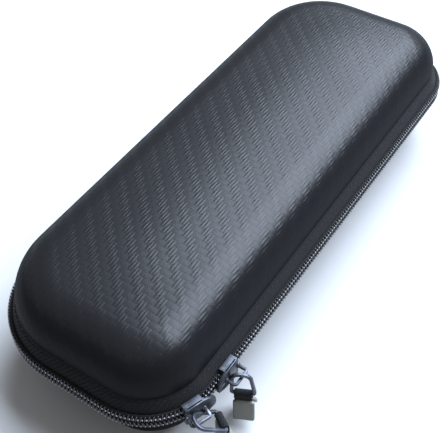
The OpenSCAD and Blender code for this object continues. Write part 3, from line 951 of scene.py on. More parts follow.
@dataclass
class Half:
    """One moulded half of the case: skin, foam, lining, zip tape, coil and bound rim."""

    name: str
    up: int
    crown: float = 0.0
    coil_pitch: float = 1.4
    shift: float = 0.0

    def wall_profile(self, depth: float, start: float) -> list[Point2]:
        """The moulded half's section at a depth under its outer face."""
        c = CASE
        centre, radius = c.half - c.edge_r, c.edge_r - depth
        line = [(c.wall + depth, start)]
        for i in range(15):
            turn = math.radians(90 - i * 90 / 14)
            line.append((c.flat - radius * math.sin(turn), centre + radius * math.cos(turn)))
        return line

    def close_face(self, shape: Shape, height: float) -> None:
        """Closes the flat face over the swept wall and cuts it into a grid."""
        rim = [e for e in shape.bm.edges if e.is_boundary and all(abs(v.co.z - height) < 0.01 for v in e.verts)]
        bmesh.ops.contextual_create(shape.bm, geom=rim)
        cut_grid(shape, 6.0, (CASE.length / 2 - CASE.flat, CASE.width / 2 - CASE.flat))
        shape.outwards()

    def crowned(self, co: Vector) -> Vector:
        """Raises the flat face a little towards its middle."""
        share = 1.0
        for half, place in ((CASE.length / 2, co.x), (CASE.width / 2, co.y)):
            near = min(1.0, max(0.0, (half - abs(place) - 9.0) / 33.0))
            share *= math.sin(near * math.pi / 2) ** 2
        high = max(0.0, min(1.0, (abs(co.z - CASE.half) - 8.0) / 12.0))
        return co + Vector((0, 0, self.up * self.crown * share * high))

    def skin(self) -> None:
        """Coated skin with a rolled lip."""
        c = CASE
        shape = Shape(f"{self.name}_coated_skin")
        lip = [(c.wall + 1.3, c.band - 0.55), (c.wall + 0.75, c.band - 0.6)]
        lip += [(c.wall + 0.25, c.band - 0.35), (c.wall, c.band + 0.15)]
        sweep(shape, lip + self.wall_profile(0.0, c.band + 0.6), False, True, self.up, 6.0, 18)
        self.close_face(shape, c.half + self.up * c.half)
        shape.lay(sheet_over).push(self.crowned)
        piece = shape.done(Palette.SKIN, self.name, "coated_skin", [f"{self.name}_skin"], 60)
        modifier(piece, "SOLIDIFY", thickness=c.skin * MM, offset=-1.0)

    def lining(self) -> None:
        """Knitted lining, laminated inside the foam and a little uneven."""
        c = CASE
        shape = Shape(f"{self.name}_lining_knit")
        sweep(shape, self.wall_profile(c.laminate, c.band + 0.3), False, True, self.up, 6.0, 16)
        self.close_face(shape, c.half + self.up * (c.half - c.laminate))
        shape.lay(sheet_over)
        shape.push(lambda co: co + Vector((0, 0, -self.up * 0.16 * max(0.0, noise.noise(co * 0.06)))))
        piece = shape.done(Palette.LINING, self.name, "lining", [f"{self.name}_lining"], 60)
        modifier(piece, "SOLIDIFY", thickness=0.55 * MM, offset=1.0)

    def tape(self) -> None:
        """Zip tape that flares from under the rim out to the coil, with a row of stitches."""
        outer = [(tape_inset(h), h) for h in (1.4, 2.2, 3.0, 3.6, 4.2, 4.9, 5.6, 6.3, 7.0, 7.6, 8.0)]
        inner = [(tape_inset(h) + 0.8, h) for h in (6.9, 6.3, 5.6, 4.9, 4.2, 3.6, 3.0, 2.2, 1.4)]
        shape = Shape(f"{self.name}_tape_weave")
        sweep(shape, outer + [(8.3, 8.0), (8.3, 7.0), (6.0, 6.95)] + inner, True, False, self.up, 7.0, 14)
        shape.lay(round_the_case)
        shape.done(Palette.TAPE, self.name, "tape", [f"{self.name}_zip_tape"], 60)
        self.stitches("hem", 6.4, 2.6, tape_inset(6.4) - 0.02, Palette.DARK_THREAD, (1.7, 0.3, 0.34), "tape")

    def stitches(
        self,
        label: str,
        height: float,
        pitch: float,
        inset: float,
        finish: Palette,
        size: Sequence[float],
        slot: str,
        shift: float = 0.0,
    ) -> None:
        """A row of stitches round the zip.

        Args:
            label: what the row holds.
            height: over the zip's middle line.
            pitch: from stitch to stitch.
            inset: of the stitches.
            finish: the thread.
            size: of one stitch, round the case, through the cloth and up.
            slot: the record's material slot.
            shift: how far the row starts round the case.
        """
        shape = Shape(f"{self.name}_{label}_stitches")
        total = CASE.starts()[7]
        places = []
        for i in range(int((total - 3) / pitch)):
            point, out = CASE.at(1.5 + shift + i * pitch)
            places.append(facing(point - out * inset, out, CASE.half + self.up * height))
        copies(shape, bead(*size, 6, 3), places)
        shape.lay(lambda co: (co.x, co.y)).done(finish, self.name, slot, soft=80)

    def coil(self) -> None:
        """The coil: a cord inside, its turns, and the thread that sews it down."""
        c = CASE
        core = Shape(f"{self.name}_coil_cord")
        angles = [i * math.tau / 10 for i in range(10)]
        ring = [(1.35 + 0.62 * math.cos(t), 1.8 + 1.15 * math.sin(t)) for t in angles]
        sweep(core, ring, True, False, self.up, 8.0, 12)
        core.lay(round_the_case)
        core.done(Palette.CORE, self.name, "coil", [f"{self.name}_coil"], 60)
        turns = Shape(f"{self.name}_coil_turns")
        lean = Matrix.Rotation(math.radians(11 * self.up), 4, "Y")
        places = []
        for i in range(int((c.starts()[7] - 2) / self.coil_pitch)):
            along = 1.0 + self.shift + i * self.coil_pitch
            point, out = c.at(along)
            open_here = self.between_sliders(along)
            middle = 1.75 if open_here else 1.5
            places.append(facing(point - out * 0.72, out, c.half + self.up * middle) @ lean)
        copies(turns, bead(0.74, 1.25, 3.3), places)
        turns.done(Palette.NYLON, self.name, "coil", soft=80)
        # The coil's stitches are pale: partly real thread, partly a painted highlight for the glints on the coil's
        # turns.
        thread = self.shift + self.coil_pitch / 2 - 0.5
        self.stitches("coil", 1.9, self.coil_pitch, 0.22, Palette.PALE_THREAD_AND_GLINT, (0.62, 0.42, 0.8), "coil", thread)

    def between_sliders(self, along: float) -> bool:
        """Whether the two halves of the coil are apart here, between the sliders' noses."""
        corner = CASE.starts()[3]
        return corner - CASE.front_r * math.radians(20) < along < corner + 9.6

    def binding(self) -> None:
        """Bound inner rim that covers the sewn edges."""
        shape = Shape(f"{self.name}_binding_tape")
        inset, low, high = CASE.wall + CASE.laminate, CASE.band - 1.6, CASE.band + 0.9
        face = [(inset, high), (inset + 0.35, high), (inset + 0.75, high - 0.35)]
        face += [(inset + 0.85, (low + high) / 2)]
        face += [(inset + 0.75, low + 0.3), (inset + 0.4, low), (inset, low)]
        sweep(shape, face, True, True, self.up, 7.0, 12)
        shape.lay(round_the_case)
        shape.done(Palette.BINDING, self.name, "binding", [f"{self.name}_binding"], 60)

    def foam(self) -> None:
        """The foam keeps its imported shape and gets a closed-cell finish."""
        dress_node(f"{self.name}_shell", Palette.FOAM)

    def build(self) -> None:
        """Makes the half's pieces."""
        for step in (self.skin, self.foam, self.lining, self.tape, self.coil, self.binding):
            step()


def dress_node(node: str, finish: Palette | Finish) -> None:
    """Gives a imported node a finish."""
    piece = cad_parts[node]
    material = (finish.value if isinstance(finish, Palette) else finish).material()
    piece.data.materials.clear()
    piece.data.materials.append(material)
    log.info("%s: finished in place", node)


def tape_inset(height: float) -> float:
    """How far the zip's cloth lies inside the outline, at a height over the middle line."""
    share = min(1.0, max(0.0, (abs(height) - 2.6) / 5.4))
    return 2.0 + 2.6 * share ** 1.5


@dataclass
class Spine:
    """The woven band that joins both halves behind, with its lining and the zip's end tabs."""

    steps: int = 25

    def band(self) -> None:
        """Band along the spine, shaped over the hinge."""
        c = CASE
        self.bent("spine_weave", 0.0, 8.0, 0.8, Palette.TAPE, "tape", "spine_band")
        tuck = Shape("spine_tucks")
        for up in (-1, 1):
            section = ((4.6, 8.0), (8.3, 8.0), (8.3, 7.2), (4.9, 7.2))
            rim = tuck.line([(c.spine / 2, c.width / 2 - i, c.half + up * h) for i, h in section], True)
            ends = tuck.run(rim, Vector((-1, 0, 0)), c.spine, 1)
            bmesh.ops.contextual_create(tuck.bm, geom=rim)
            bmesh.ops.contextual_create(tuck.bm, geom=ends)
        tuck.outwards()
        lid, base = Shape("lid_spine_tuck"), Shape("base_spine_tuck")
        for half, keep in ((lid, 1), (base, -1)):
            mesh = bpy.data.meshes.new("half")
            tuck.bm.to_mesh(mesh)
            half.bm.from_mesh(mesh)
            bpy.data.meshes.remove(mesh)
            gone = [v for v in half.bm.verts if (v.co.z - c.half) * keep < 0]
            bmesh.ops.delete(half.bm, geom=gone, context="VERTS")
            half.lay(lambda co: (co.x, co.z + co.y))
        tuck.bm.free()
        lid.done(Palette.TAPE, "lid", "tape")
        base.done(Palette.TAPE, "base", "tape")

    def bent(self, name: str, deeper: float, reach: float, thick: float, finish: Palette, slot: str, node: str) -> None:
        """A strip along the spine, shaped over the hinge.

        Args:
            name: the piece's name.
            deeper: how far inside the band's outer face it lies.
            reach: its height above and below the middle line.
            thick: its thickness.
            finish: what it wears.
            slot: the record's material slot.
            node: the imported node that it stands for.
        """
        c = CASE
        shape = Shape(name)
        heights = [reach * (2 * i / (self.steps - 1) - 1) for i in range(self.steps)]
        edges = shape.line([(c.spine / 2, c.width / 2 - tape_inset(h) - deeper, c.half + h) for h in heights])
        shape.run(edges, Vector((-1, 0, 0)), c.spine, 24)
        shape.lay(lambda co: (co.x, co.z))
        made = bmesh.ops.solidify(shape.bm, geom=list(shape.bm.faces), thickness=thick)
        shape.outwards()
        piece = shape.done(finish, "", slot, [node], 60)
        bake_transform(piece)
        log.info("%s bends over the hinge, %d parts", name, len(made["geom"]))

    def tabs(self) -> None:
        """Folded tabs over the zip's two ends."""
        c = CASE
        shape = Shape("zip_end_folds")
        for side in (-1, 1):
            x = side * (c.spine / 2 - 3.4)
            fold = Shape("fold")
            bmesh.ops.create_cube(fold.bm, size=1.0)
            fold.move(Matrix.Translation((x, c.width / 2 - 1.35, c.half - 1.85)) @ Matrix.Diagonal((6.0, 1.1, 2.5, 1)))
            bmesh.ops.subdivide_edges(fold.bm, edges=fold.bm.edges, cuts=3, use_grid_fill=True)
            fold.round(fold.sharp(60), 0.3, 3)
            fold.push(lambda co, m=x: co + Vector((0, 0.12 * math.cos((co.x - m) * 1.1), 0)))
            shape.join(fold)
        shape.lay(lambda co: (co.x, co.z + co.y))
        shape.done(Palette.BINDING, "base", "tape", ["zip_end_tabs"], 60)

    def build(self) -> None:
        """Makes the spine's pieces."""
        self.band()
        self.bent("spine_inner_strip", 0.95, 5.2, 0.4, Palette.LINING, "lining", "spine_lining")
        self.tabs()


# ---- Sliders and pulls -------------------------------------------------------------------------


@dataclass(frozen=True)
class PullPose:
    """How a pull lies at rest: its ring's turns on the bridge, and the strap's turn on the ring."""

    swing: float
    lean: float
    yaw: float
    roll: float
    strap: float
    splay: tuple[float, float]


@dataclass
class Slider:
    """A zip slider with its pull ring, folded strap and rubber tails."""

    label: str
    origin: Vector
    turn: float
    nose: int
    pose: PullPose
    flange: float = 7.0
    beak: float = 4.5
    high: float = 4.3
    plate: float = 1.2
    gap: float = 3.0
    bar: float = 1.0
    wire: float = 1.2
    neck: float = 3.2
    ring_length: float = 12.0
    ring_width: float = 9.4
    strap_width: float = 6.0
    strap_length: float = 5.4
    tail_length: float = 7.6
    tail_width: float = 7.4
    tail_thick: float = 1.3
    play: float = 0.6

    @property
    def bar_y(self) -> float:
        """The bridge bar's place outwards from the outline."""
        return -0.3 - self.plate - self.gap - self.bar / 2

    @property
    def drop(self) -> float:
        """How far the ring's eye hangs under the bar."""
        return self.neck - self.wire - self.bar / 2 - self.play

    @property
    def heel(self) -> float:
        """The ring's far side, under the bar."""
        return -self.drop - (self.ring_length - self.neck) + self.wire / 2

    def place(self) -> Matrix:
        """The slider's frame: x along the coil, y inwards, z up."""
        return Matrix.Translation(self.origin) @ Matrix.Rotation(math.radians(self.turn), 4, "Z")

    def hung(self) -> Matrix:
        """The pull's frame, hung on the bar."""
        pose = self.pose
        lean = math.radians(pose.lean)
        clear = (self.bar / 2 + 0.3 + self.wire / 2 * math.sin(lean)) / math.cos(lean)
        lift = max(0.0, clear - self.bar / 2 - self.play)
        turns = Matrix.Rotation(math.radians(-pose.yaw), 4, "Z") @ Matrix.Rotation(math.radians(-pose.swing), 4, "X")
        turns = turns @ Matrix.Rotation(-lean, 4, "Y") @ Matrix.Rotation(math.radians(pose.roll), 4, "Z")
        return self.place() @ Matrix.Translation((0, self.bar_y, 0)) @ turns @ Matrix.Translation((0, 0, lift))

    def on_heel(self) -> Matrix:
        """The strap's frame, turned on the ring's heel."""
        back = Matrix.Translation((0, 0, self.heel))
        return self.hung() @ back @ Matrix.Rotation(math.radians(self.pose.strap), 4, "Y") @ back.inverted()

    def outer_plate(self) -> Shape:
        """Outer plate, waisted towards its beak, with rounded edges."""
        half, tip = self.flange / 2, self.flange / 2 + self.beak
        shape = Shape("plate")
        outline = [(-half, -self.high), (half - 0.4, -self.high)]
        outline += [(half + 1.6, -self.high * 0.84), (tip - 0.4, -self.high * 0.5)]
        outline += [(tip, -self.high * 0.3)] + [(x, -z) for x, z in reversed(outline)]
        outline.insert(5, (tip, self.high * 0.3))
        face = shape.face([(x, -0.3, z) for x, z in outline])
        corners = [v for v in face.verts if v.co.x < 0]
        shape.round_corners(corners, 0.9, 4)
        shape.thicken((0, -self.plate, 0))
        shape.round(shape.sharp(50), 0.32, 3)
        return shape

    def block(self, low: Sequence[float], high: Sequence[float], edge: float, segments: int = 3) -> Shape:
        """A rounded block between two corners."""
        shape = Shape("block")
        bmesh.ops.create_cube(shape.bm, size=1.0)
        size = [b - a for a, b in zip(low, high)]
        middle = [(a + b) / 2 for a, b in zip(low, high)]
        shape.move(Matrix.Translation(middle) @ Matrix.Diagonal((*size, 1)))
        shape.round(list(shape.bm.edges), edge, segments)
        return shape

    def bridge(self) -> Shape:
        """Arched bridge that the ring hangs on."""
        shape = Shape("bridge")
        foot, top = -0.3 - self.plate + 0.2, self.bar_y
        crest, under, outer, inner = top - self.bar / 2, top + self.bar / 2, 3.95, 2.85
        arch = [(-outer, foot), (-outer, crest + 1.0), (-3.2, crest + 0.1), (-2.2, crest)]
        arch += [(-x, y) for x, y in reversed(arch)]
        arch += [(inner, foot), (inner, under), (-inner, under), (-inner, foot)]
        line = shape.line([(x, y, 0) for x, y in arch], True)
        bmesh.ops.contextual_create(shape.bm, geom=line)
        bmesh.ops.translate(shape.bm, verts=shape.bm.verts, vec=(0, 0, -self.bar / 2))
        shape.thicken((0, 0, self.bar))
        shape.round(shape.sharp(50), 0.22, 2)
        return shape

    def body(self) -> None:
        """The slider's body: two plates, flanges, wedge, bridge and its two rivet heads."""
        half = self.flange / 2
        shape = self.outer_plate()
        shape.join(self.block((-half, 3.4, -3.2), (half + 1.0, 4.4, 3.2), 0.3))
        for side in (-1, 1):
            z = sorted((side * (self.high - 0.8), side * self.high))
            flange = self.block((-half, -1.3, z[0]), (half, 1.7, z[1]), 0.24)
            shape.join(flange)
        shape.join(self.block((half - 0.6, -0.4, -0.25), (half + 1.0, 3.5, 0.25), 0.1, 2))
        shape.join(self.bridge())
        for x in (-3.4, 3.4):
            boss = Shape("boss")
            bmesh.ops.create_cone(boss.bm, cap_ends=True, segments=20, radius1=1.05, radius2=0.8, depth=0.5)
            boss.round(boss.sharp(50), 0.15, 2)
            boss.move(Matrix.Translation((x, -1.7, 0)) @ Matrix.Rotation(math.pi / 2, 4, "X"))
            shape.join(boss)
        ridge = self.block((half + 1.2, -1.75, -0.3), (half + self.beak - 0.8, -1.4, 0.3), 0.12, 2)
        shape.join(ridge)
        if self.nose < 0:
            shape.move(Matrix.Diagonal((-1, 1, 1, 1)))
            bmesh.ops.reverse_faces(shape.bm, faces=shape.bm.faces)
        shape.move(self.place())
        shape.done(Palette.SLIDER, f"slider_{self.label}", "slider_metal", [f"slider_{self.label}"], 40)

    def ring(self) -> None:
        """Flat D-shaped ring with rounded edges."""
        shape = Shape(f"pull_ring_{self.label}")
        w, top, low = self.ring_width / 2, self.neck - self.drop, self.heel - self.wire / 2
        shape.face([(0, -self.neck - 0.25, top), (0, self.neck + 0.25, top), (0, w, low), (0, -w, low)])
        shape.bm.faces.ensure_lookup_table()
        shape.round_corners([v for v in shape.bm.verts if v.co.z > 0], self.neck * 0.9, 12)
        shape.round_corners([v for v in shape.bm.verts if v.co.z < low + 0.01], 1.9, 8)
        hole = bmesh.ops.inset_region(
            shape.bm, faces=list(shape.bm.faces), thickness=self.wire, use_even_offset=True, use_boundary=True,
        )
        inner = [f for f in shape.bm.faces if f not in set(hole["faces"])]
        bmesh.ops.delete(shape.bm, geom=inner, context="FACES_ONLY")
        bmesh.ops.translate(shape.bm, verts=shape.bm.verts, vec=(-self.wire / 2, 0, 0))
        shape.thicken((self.wire, 0, 0))
        shape.round(shape.sharp(60), 0.3, 3)
        shape.move(self.hung())
        shape.done(Palette.RING, f"ring_{self.label}", "ring_metal", [f"ring_{self.label}"], 40)

    def strap(self) -> None:
        """Webbing folded round the ring's heel and sewn under it."""
        shape = Shape(f"strap_webbing_{self.label}")
        wide, wall = self.strap_width / 2, 0.95
        outer = self.wire / 2 + 0.3 + wall
        foot = self.heel + outer - self.strap_length
        side = outer - wall / 2
        edges = shape.line([(side, -wide, z) for z in (foot, foot + 1.2, self.heel)])
        last = [e for e in edges if any(abs(v.co.z - self.heel) < 0.001 for v in e.verts)][0]
        tip = [v for v in last.verts if abs(v.co.z - self.heel) < 0.001][0]
        arc = bmesh.ops.spin(
            shape.bm, geom=[tip], cent=(0, -wide, self.heel), axis=(0, 1, 0), dvec=(0, 0, 0), angle=-math.pi,
            space=Matrix(), steps=9, use_merge=False, use_normal_flip=False, use_duplicate=False,
        )["geom_last"]
        end = [g for g in arc if isinstance(g, bmesh.types.BMVert)][0]
        away = bmesh.ops.extrude_vert_indiv(shape.bm, verts=[end])["verts"][0]
        away.co.z = foot + 1.2
        low = bmesh.ops.extrude_vert_indiv(shape.bm, verts=[away])["verts"][0]
        low.co.z = foot
        for vert in shape.bm.verts:
            if vert.co.z < self.heel - 0.5:
                vert.co.x *= 0.62 if vert.co.z < foot + 0.6 else 0.8
        shape.run(list(shape.bm.edges), Vector((0, 1, 0)), self.strap_width, 6)
        shape.lay(lambda co: (co.y, co.z + co.x))
        bmesh.ops.recalc_face_normals(shape.bm, faces=shape.bm.faces)
        bmesh.ops.solidify(shape.bm, geom=list(shape.bm.faces), thickness=0.4)
        shape.outwards()
        shape.round(shape.sharp(60), 0.12, 2)
        shape.move(self.on_heel())
        shape.done(Palette.WEBBING, f"strap_{self.label}", "webbing", [f"strap_{self.label}"], 50)
        self.strap_stitches(foot)

    def strap_stitches(self, foot: float) -> None:
        """Cross stitches that close the fold."""
        stitches = Shape(f"strap_stitches_{self.label}")
        places = []
        for side in (-1, 1):
            for i in range(7):
                y = -2.4 + i * 0.8
                spot = Matrix.Translation((side * 1.28, y, foot + 1.5))
                places.append(spot @ Matrix.Rotation(0.35, 4, "X"))
        copies(stitches, bead(0.3, 0.6, 0.26, 6, 4), places)
        stitches.move(self.on_heel()).lay(lambda co: (co.x, co.y))
        stitches.done(Palette.DARK_THREAD, f"strap_{self.label}", "webbing", soft=80)

    def tails(self) -> None:
        """Two rubber leaves, bent a little outwards, with rounded edges."""
        shape = Shape(f"pull_tails_{self.label}")
        top = self.heel + self.wire / 2 + 1.3 - self.strap_length - 0.25
        for i, sign in enumerate((-1, 1)):
            leaf = Shape("leaf")
            bmesh.ops.create_grid(leaf.bm, x_segments=6, y_segments=6, size=0.5)
            leaf.move(Matrix.Diagonal((self.tail_length, self.tail_width, 1, 1)))
            x, y = self.tail_length / 2 - 0.01, self.tail_width / 2 - 0.01
            corners = [v for v in leaf.bm.verts if abs(v.co.x) > x and abs(v.co.y) > y]
            leaf.round_corners(corners, 0.6, 3)
            leaf.move(Matrix.Translation((0, 0, -self.tail_thick / 2)))
            leaf.thicken((0, 0, self.tail_thick))
            leaf.round(leaf.sharp(60), 0.26, 2)
            leaf.move(Matrix.Translation((0, 0, -self.tail_length / 2)) @ Matrix.Rotation(math.pi / 2, 4, "Y"))
            leaf.push(lambda co, s=sign: co + Vector((s * 0.012 * co.z * co.z, 0, 0)))
            splay = Matrix.Rotation(math.radians(-sign * self.pose.splay[i]), 4, "Y")
            leaf.move(Matrix.Translation((sign * (self.tail_thick / 2 + 0.2), 0, top)) @ splay)
            shape.join(leaf)
        reach = self.strap_width / 2 - 0.3
        root = self.block((-1.35, -reach, top - 0.5), (1.35, reach, top + 0.55), 0.25, 2)
        shape.join(root)
        shape.move(self.on_heel())
        shape.done(Palette.RUBBER, f"strap_{self.label}", "tail_rubber", [f"tails_{self.label}"], 50)

    def build(self) -> None:
        """Makes the slider and its pull."""
        for step in (self.body, self.ring, self.strap, self.tails):
            step()


# ---- Needles and their boards ------------------------------------------------------------------


class Row(Enum):
    """The three rows of needles, by diameter, each size twice."""

    BIG = (10.0, 8.0, 6.5)
    TOP = (6.0, 5.5, 5.0, 4.5)
    UNDER = (2.75, 3.0, 3.25, 3.5, 3.75, 4.0)

    def places(self, gap: float = 1.2) -> list[tuple[float, float]]:
        """Each needle's middle across the row, and its diameter."""
        sizes = [d for d in self.value for _ in range(2)]
        start = -(sum(sizes) + gap * (len(sizes) - 1)) / 2
        found = []
        for d in sizes:
            found.append((start + d / 2, d))
            start += d + gap
        return found


@dataclass
class NeedleBoards:
    """The board on the base's floor, the turning page, their elastics and the needle tips."""

    floor: float = 7.2
    page_top: float = 24.0
    thick: float = 1.4
    tip_start: float = -76.0
    band_width: float = 16.0
    colours: dict[str, Colour] = field(default_factory=lambda: {
        "2_75": (0.62, 0.63, 0.65), "3_00": (0.70, 0.38, 0.06), "3_25": (0.55, 0.10, 0.06),
        "3_50": (0.14, 0.33, 0.09), "3_75": (0.06, 0.22, 0.46), "4_00": (0.22, 0.11, 0.40),
        "4_50": (0.55, 0.12, 0.27), "5_00": (0.70, 0.26, 0.05), "5_50": (0.06, 0.30, 0.29),
        "6_00": (0.06, 0.13, 0.46), "6_50": (0.40, 0.06, 0.05), "8_00": (0.12, 0.27, 0.06),
        "10_00": (0.26, 0.15, 0.46),
    })

    def board(self, name: str, inset: float, height: float, body: str, node: str) -> None:
        """A cloth-covered board with a sewn border."""
        shape = plate(name, inset, height, self.thick, 0.45)
        shape.lay(lambda co: (co.x, co.y))
        shape.done(Palette.BOARD, body, "board", [node], 50)
        border = Shape(f"{name}_stitches")
        c, step, places = CASE, 2.4, []
        x, y, deep = c.length / 2 - inset - 2.2, c.width / 2 - inset - 2.2, c.hinge_r - inset
        for side in (-1, 1):
            for i in range(int((2 * x - 2 * deep) / step)):
                places.append(Matrix.Translation((-x + deep + (i + 0.5) * step, side * y, height + self.thick)))
        copies(border, bead(1.5, 0.34, 0.24, 6, 3), places)
        border.lay(lambda co: (co.x, co.y)).done(Palette.PALE_THREAD_AND_GLINT, body, "board", soft=80)

    def elastic(self, name: str, row: Row, face: float, up: int, body: str, node: str) -> None:
        """Two knitted bands that loop over each needle and dip to the board between them."""
        places = row.places()
        reach = -places[0][0] + places[0][1] / 2 + 3.0
        shape = Shape(name)
        for x in (self.tip_start + 24, self.tip_start + 84):
            band = Shape("band")
            bmesh.ops.create_grid(band.bm, x_segments=7, y_segments=int(reach / 0.17), size=0.5)
            spot = Matrix.Translation((x + self.band_width / 2, 0, 0))
            band.move(spot @ Matrix.Diagonal((self.band_width, 2 * reach, 1, 1)))
            band.push(lambda co: self.over_needles(co, places, face, up))
            shape.join(band)
        shape.lay(lambda co: (co.x, co.y * 1.6))
        piece = shape.done(Palette.ELASTIC, body, "elastic", [node], 80)
        modifier(piece, "SOLIDIFY", thickness=0.7 * MM, offset=1.0 if up > 0 else -1.0)

    def over_needles(self, co: Vector, places: Sequence[tuple[float, float]], face: float, up: int) -> Vector:
        """Lifts a point of a band over the needles.

        Args:
            co: the point on the flat band.
            places: the needles' middles and diameters.
            face: the board's face.
            up: 1 above the board, -1 under it.

        Returns:
            The lifted point.
        """
        high = 0.12
        for middle, d in places:
            r = d / 2 + 0.1
            away = abs(co.y - middle)
            if away < r:
                high = max(high, d / 2 + math.sqrt(r * r - away * away))
        return Vector((co.x, co.y, face + up * high))

    def strip(self) -> None:
        """Cloth strip that the page turns on."""
        c = CASE
        shape = Shape("page_hinge_strip")
        z = self.page_top - self.thick / 2
        near, far = c.width / 2 - 3.3, c.width / 2 - 10.6
        first = shape.line([(c.spine / 2 - 5, near, z), (-c.spine / 2 + 5, near, z)])
        shape.run(first, Vector((0, -1, 0)), near - far, 10)
        along = [e for e in shape.bm.edges if abs(e.verts[0].co.y - e.verts[1].co.y) < 0.01]
        bmesh.ops.subdivide_edges(shape.bm, edges=along, cuts=16, use_grid_fill=True)
        shape.lay(lambda co: (co.x, co.y))
        bmesh.ops.solidify(shape.bm, geom=list(shape.bm.faces), thickness=0.5)
        shape.outwards()
        piece = shape.done(Palette.BINDING, "", "binding", ["page_strip"], 60)
        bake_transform(piece)

    def build(self) -> None:
        """Makes the boards, bands and tips."""
        self.board("floor_board", 14.4, self.floor - self.thick, "base", "needle_board")
        self.board("page_cloth_board", 10.2, self.page_top - self.thick, "page", "page_board")
        self.elastic("floor_band", Row.BIG, self.floor, 1, "base", "board_elastics")
        self.elastic("page_band_top", Row.TOP, self.page_top, 1, "page", "page_elastics_top")
        self.elastic("page_band_under", Row.UNDER, self.page_top - self.thick, -1, "page", "page_elastics_under")
        self.strip()
        for size, colour in self.colours.items():
            dress_node(f"tips_{size}", Anodised(f"anodised_{size}", colour, 0.3))


# ---- Pocket ------------------------------------------------------------------------------------


@dataclass(frozen=True)
class Coil:
    """A cable wound in a flat spiral, with both of its ends turned off it."""

    name: str
    length: float
    start: float
    level: int
    finish: Palette
    slot: str
    outer: float = 25.0
    pitch: float = 1.9

    @property
    def turns(self) -> float:
        """How many turns it makes."""
        core = math.sqrt(self.outer ** 2 - self.length * self.pitch / math.pi)
        return (self.outer - core) / self.pitch

    def point(self, angle: float) -> Vector:
        """A point of the spiral, from its middle, at an angle from its outer end."""
        r = self.outer - self.pitch * angle / 360
        r += 2.0 * max(0.0, (45 - angle) / 45) ** 2
        r -= 4.5 * max(0.0, (angle - 360 * self.turns + 70) / 70) ** 2
        turn = math.radians(self.start - angle)
        return Vector((r * math.cos(turn), r * math.sin(turn), 0))

    def way(self, angle: float) -> Vector:
        """The cable's direction at an angle."""
        return (self.point(angle + 1) - self.point(angle - 1)).normalized()


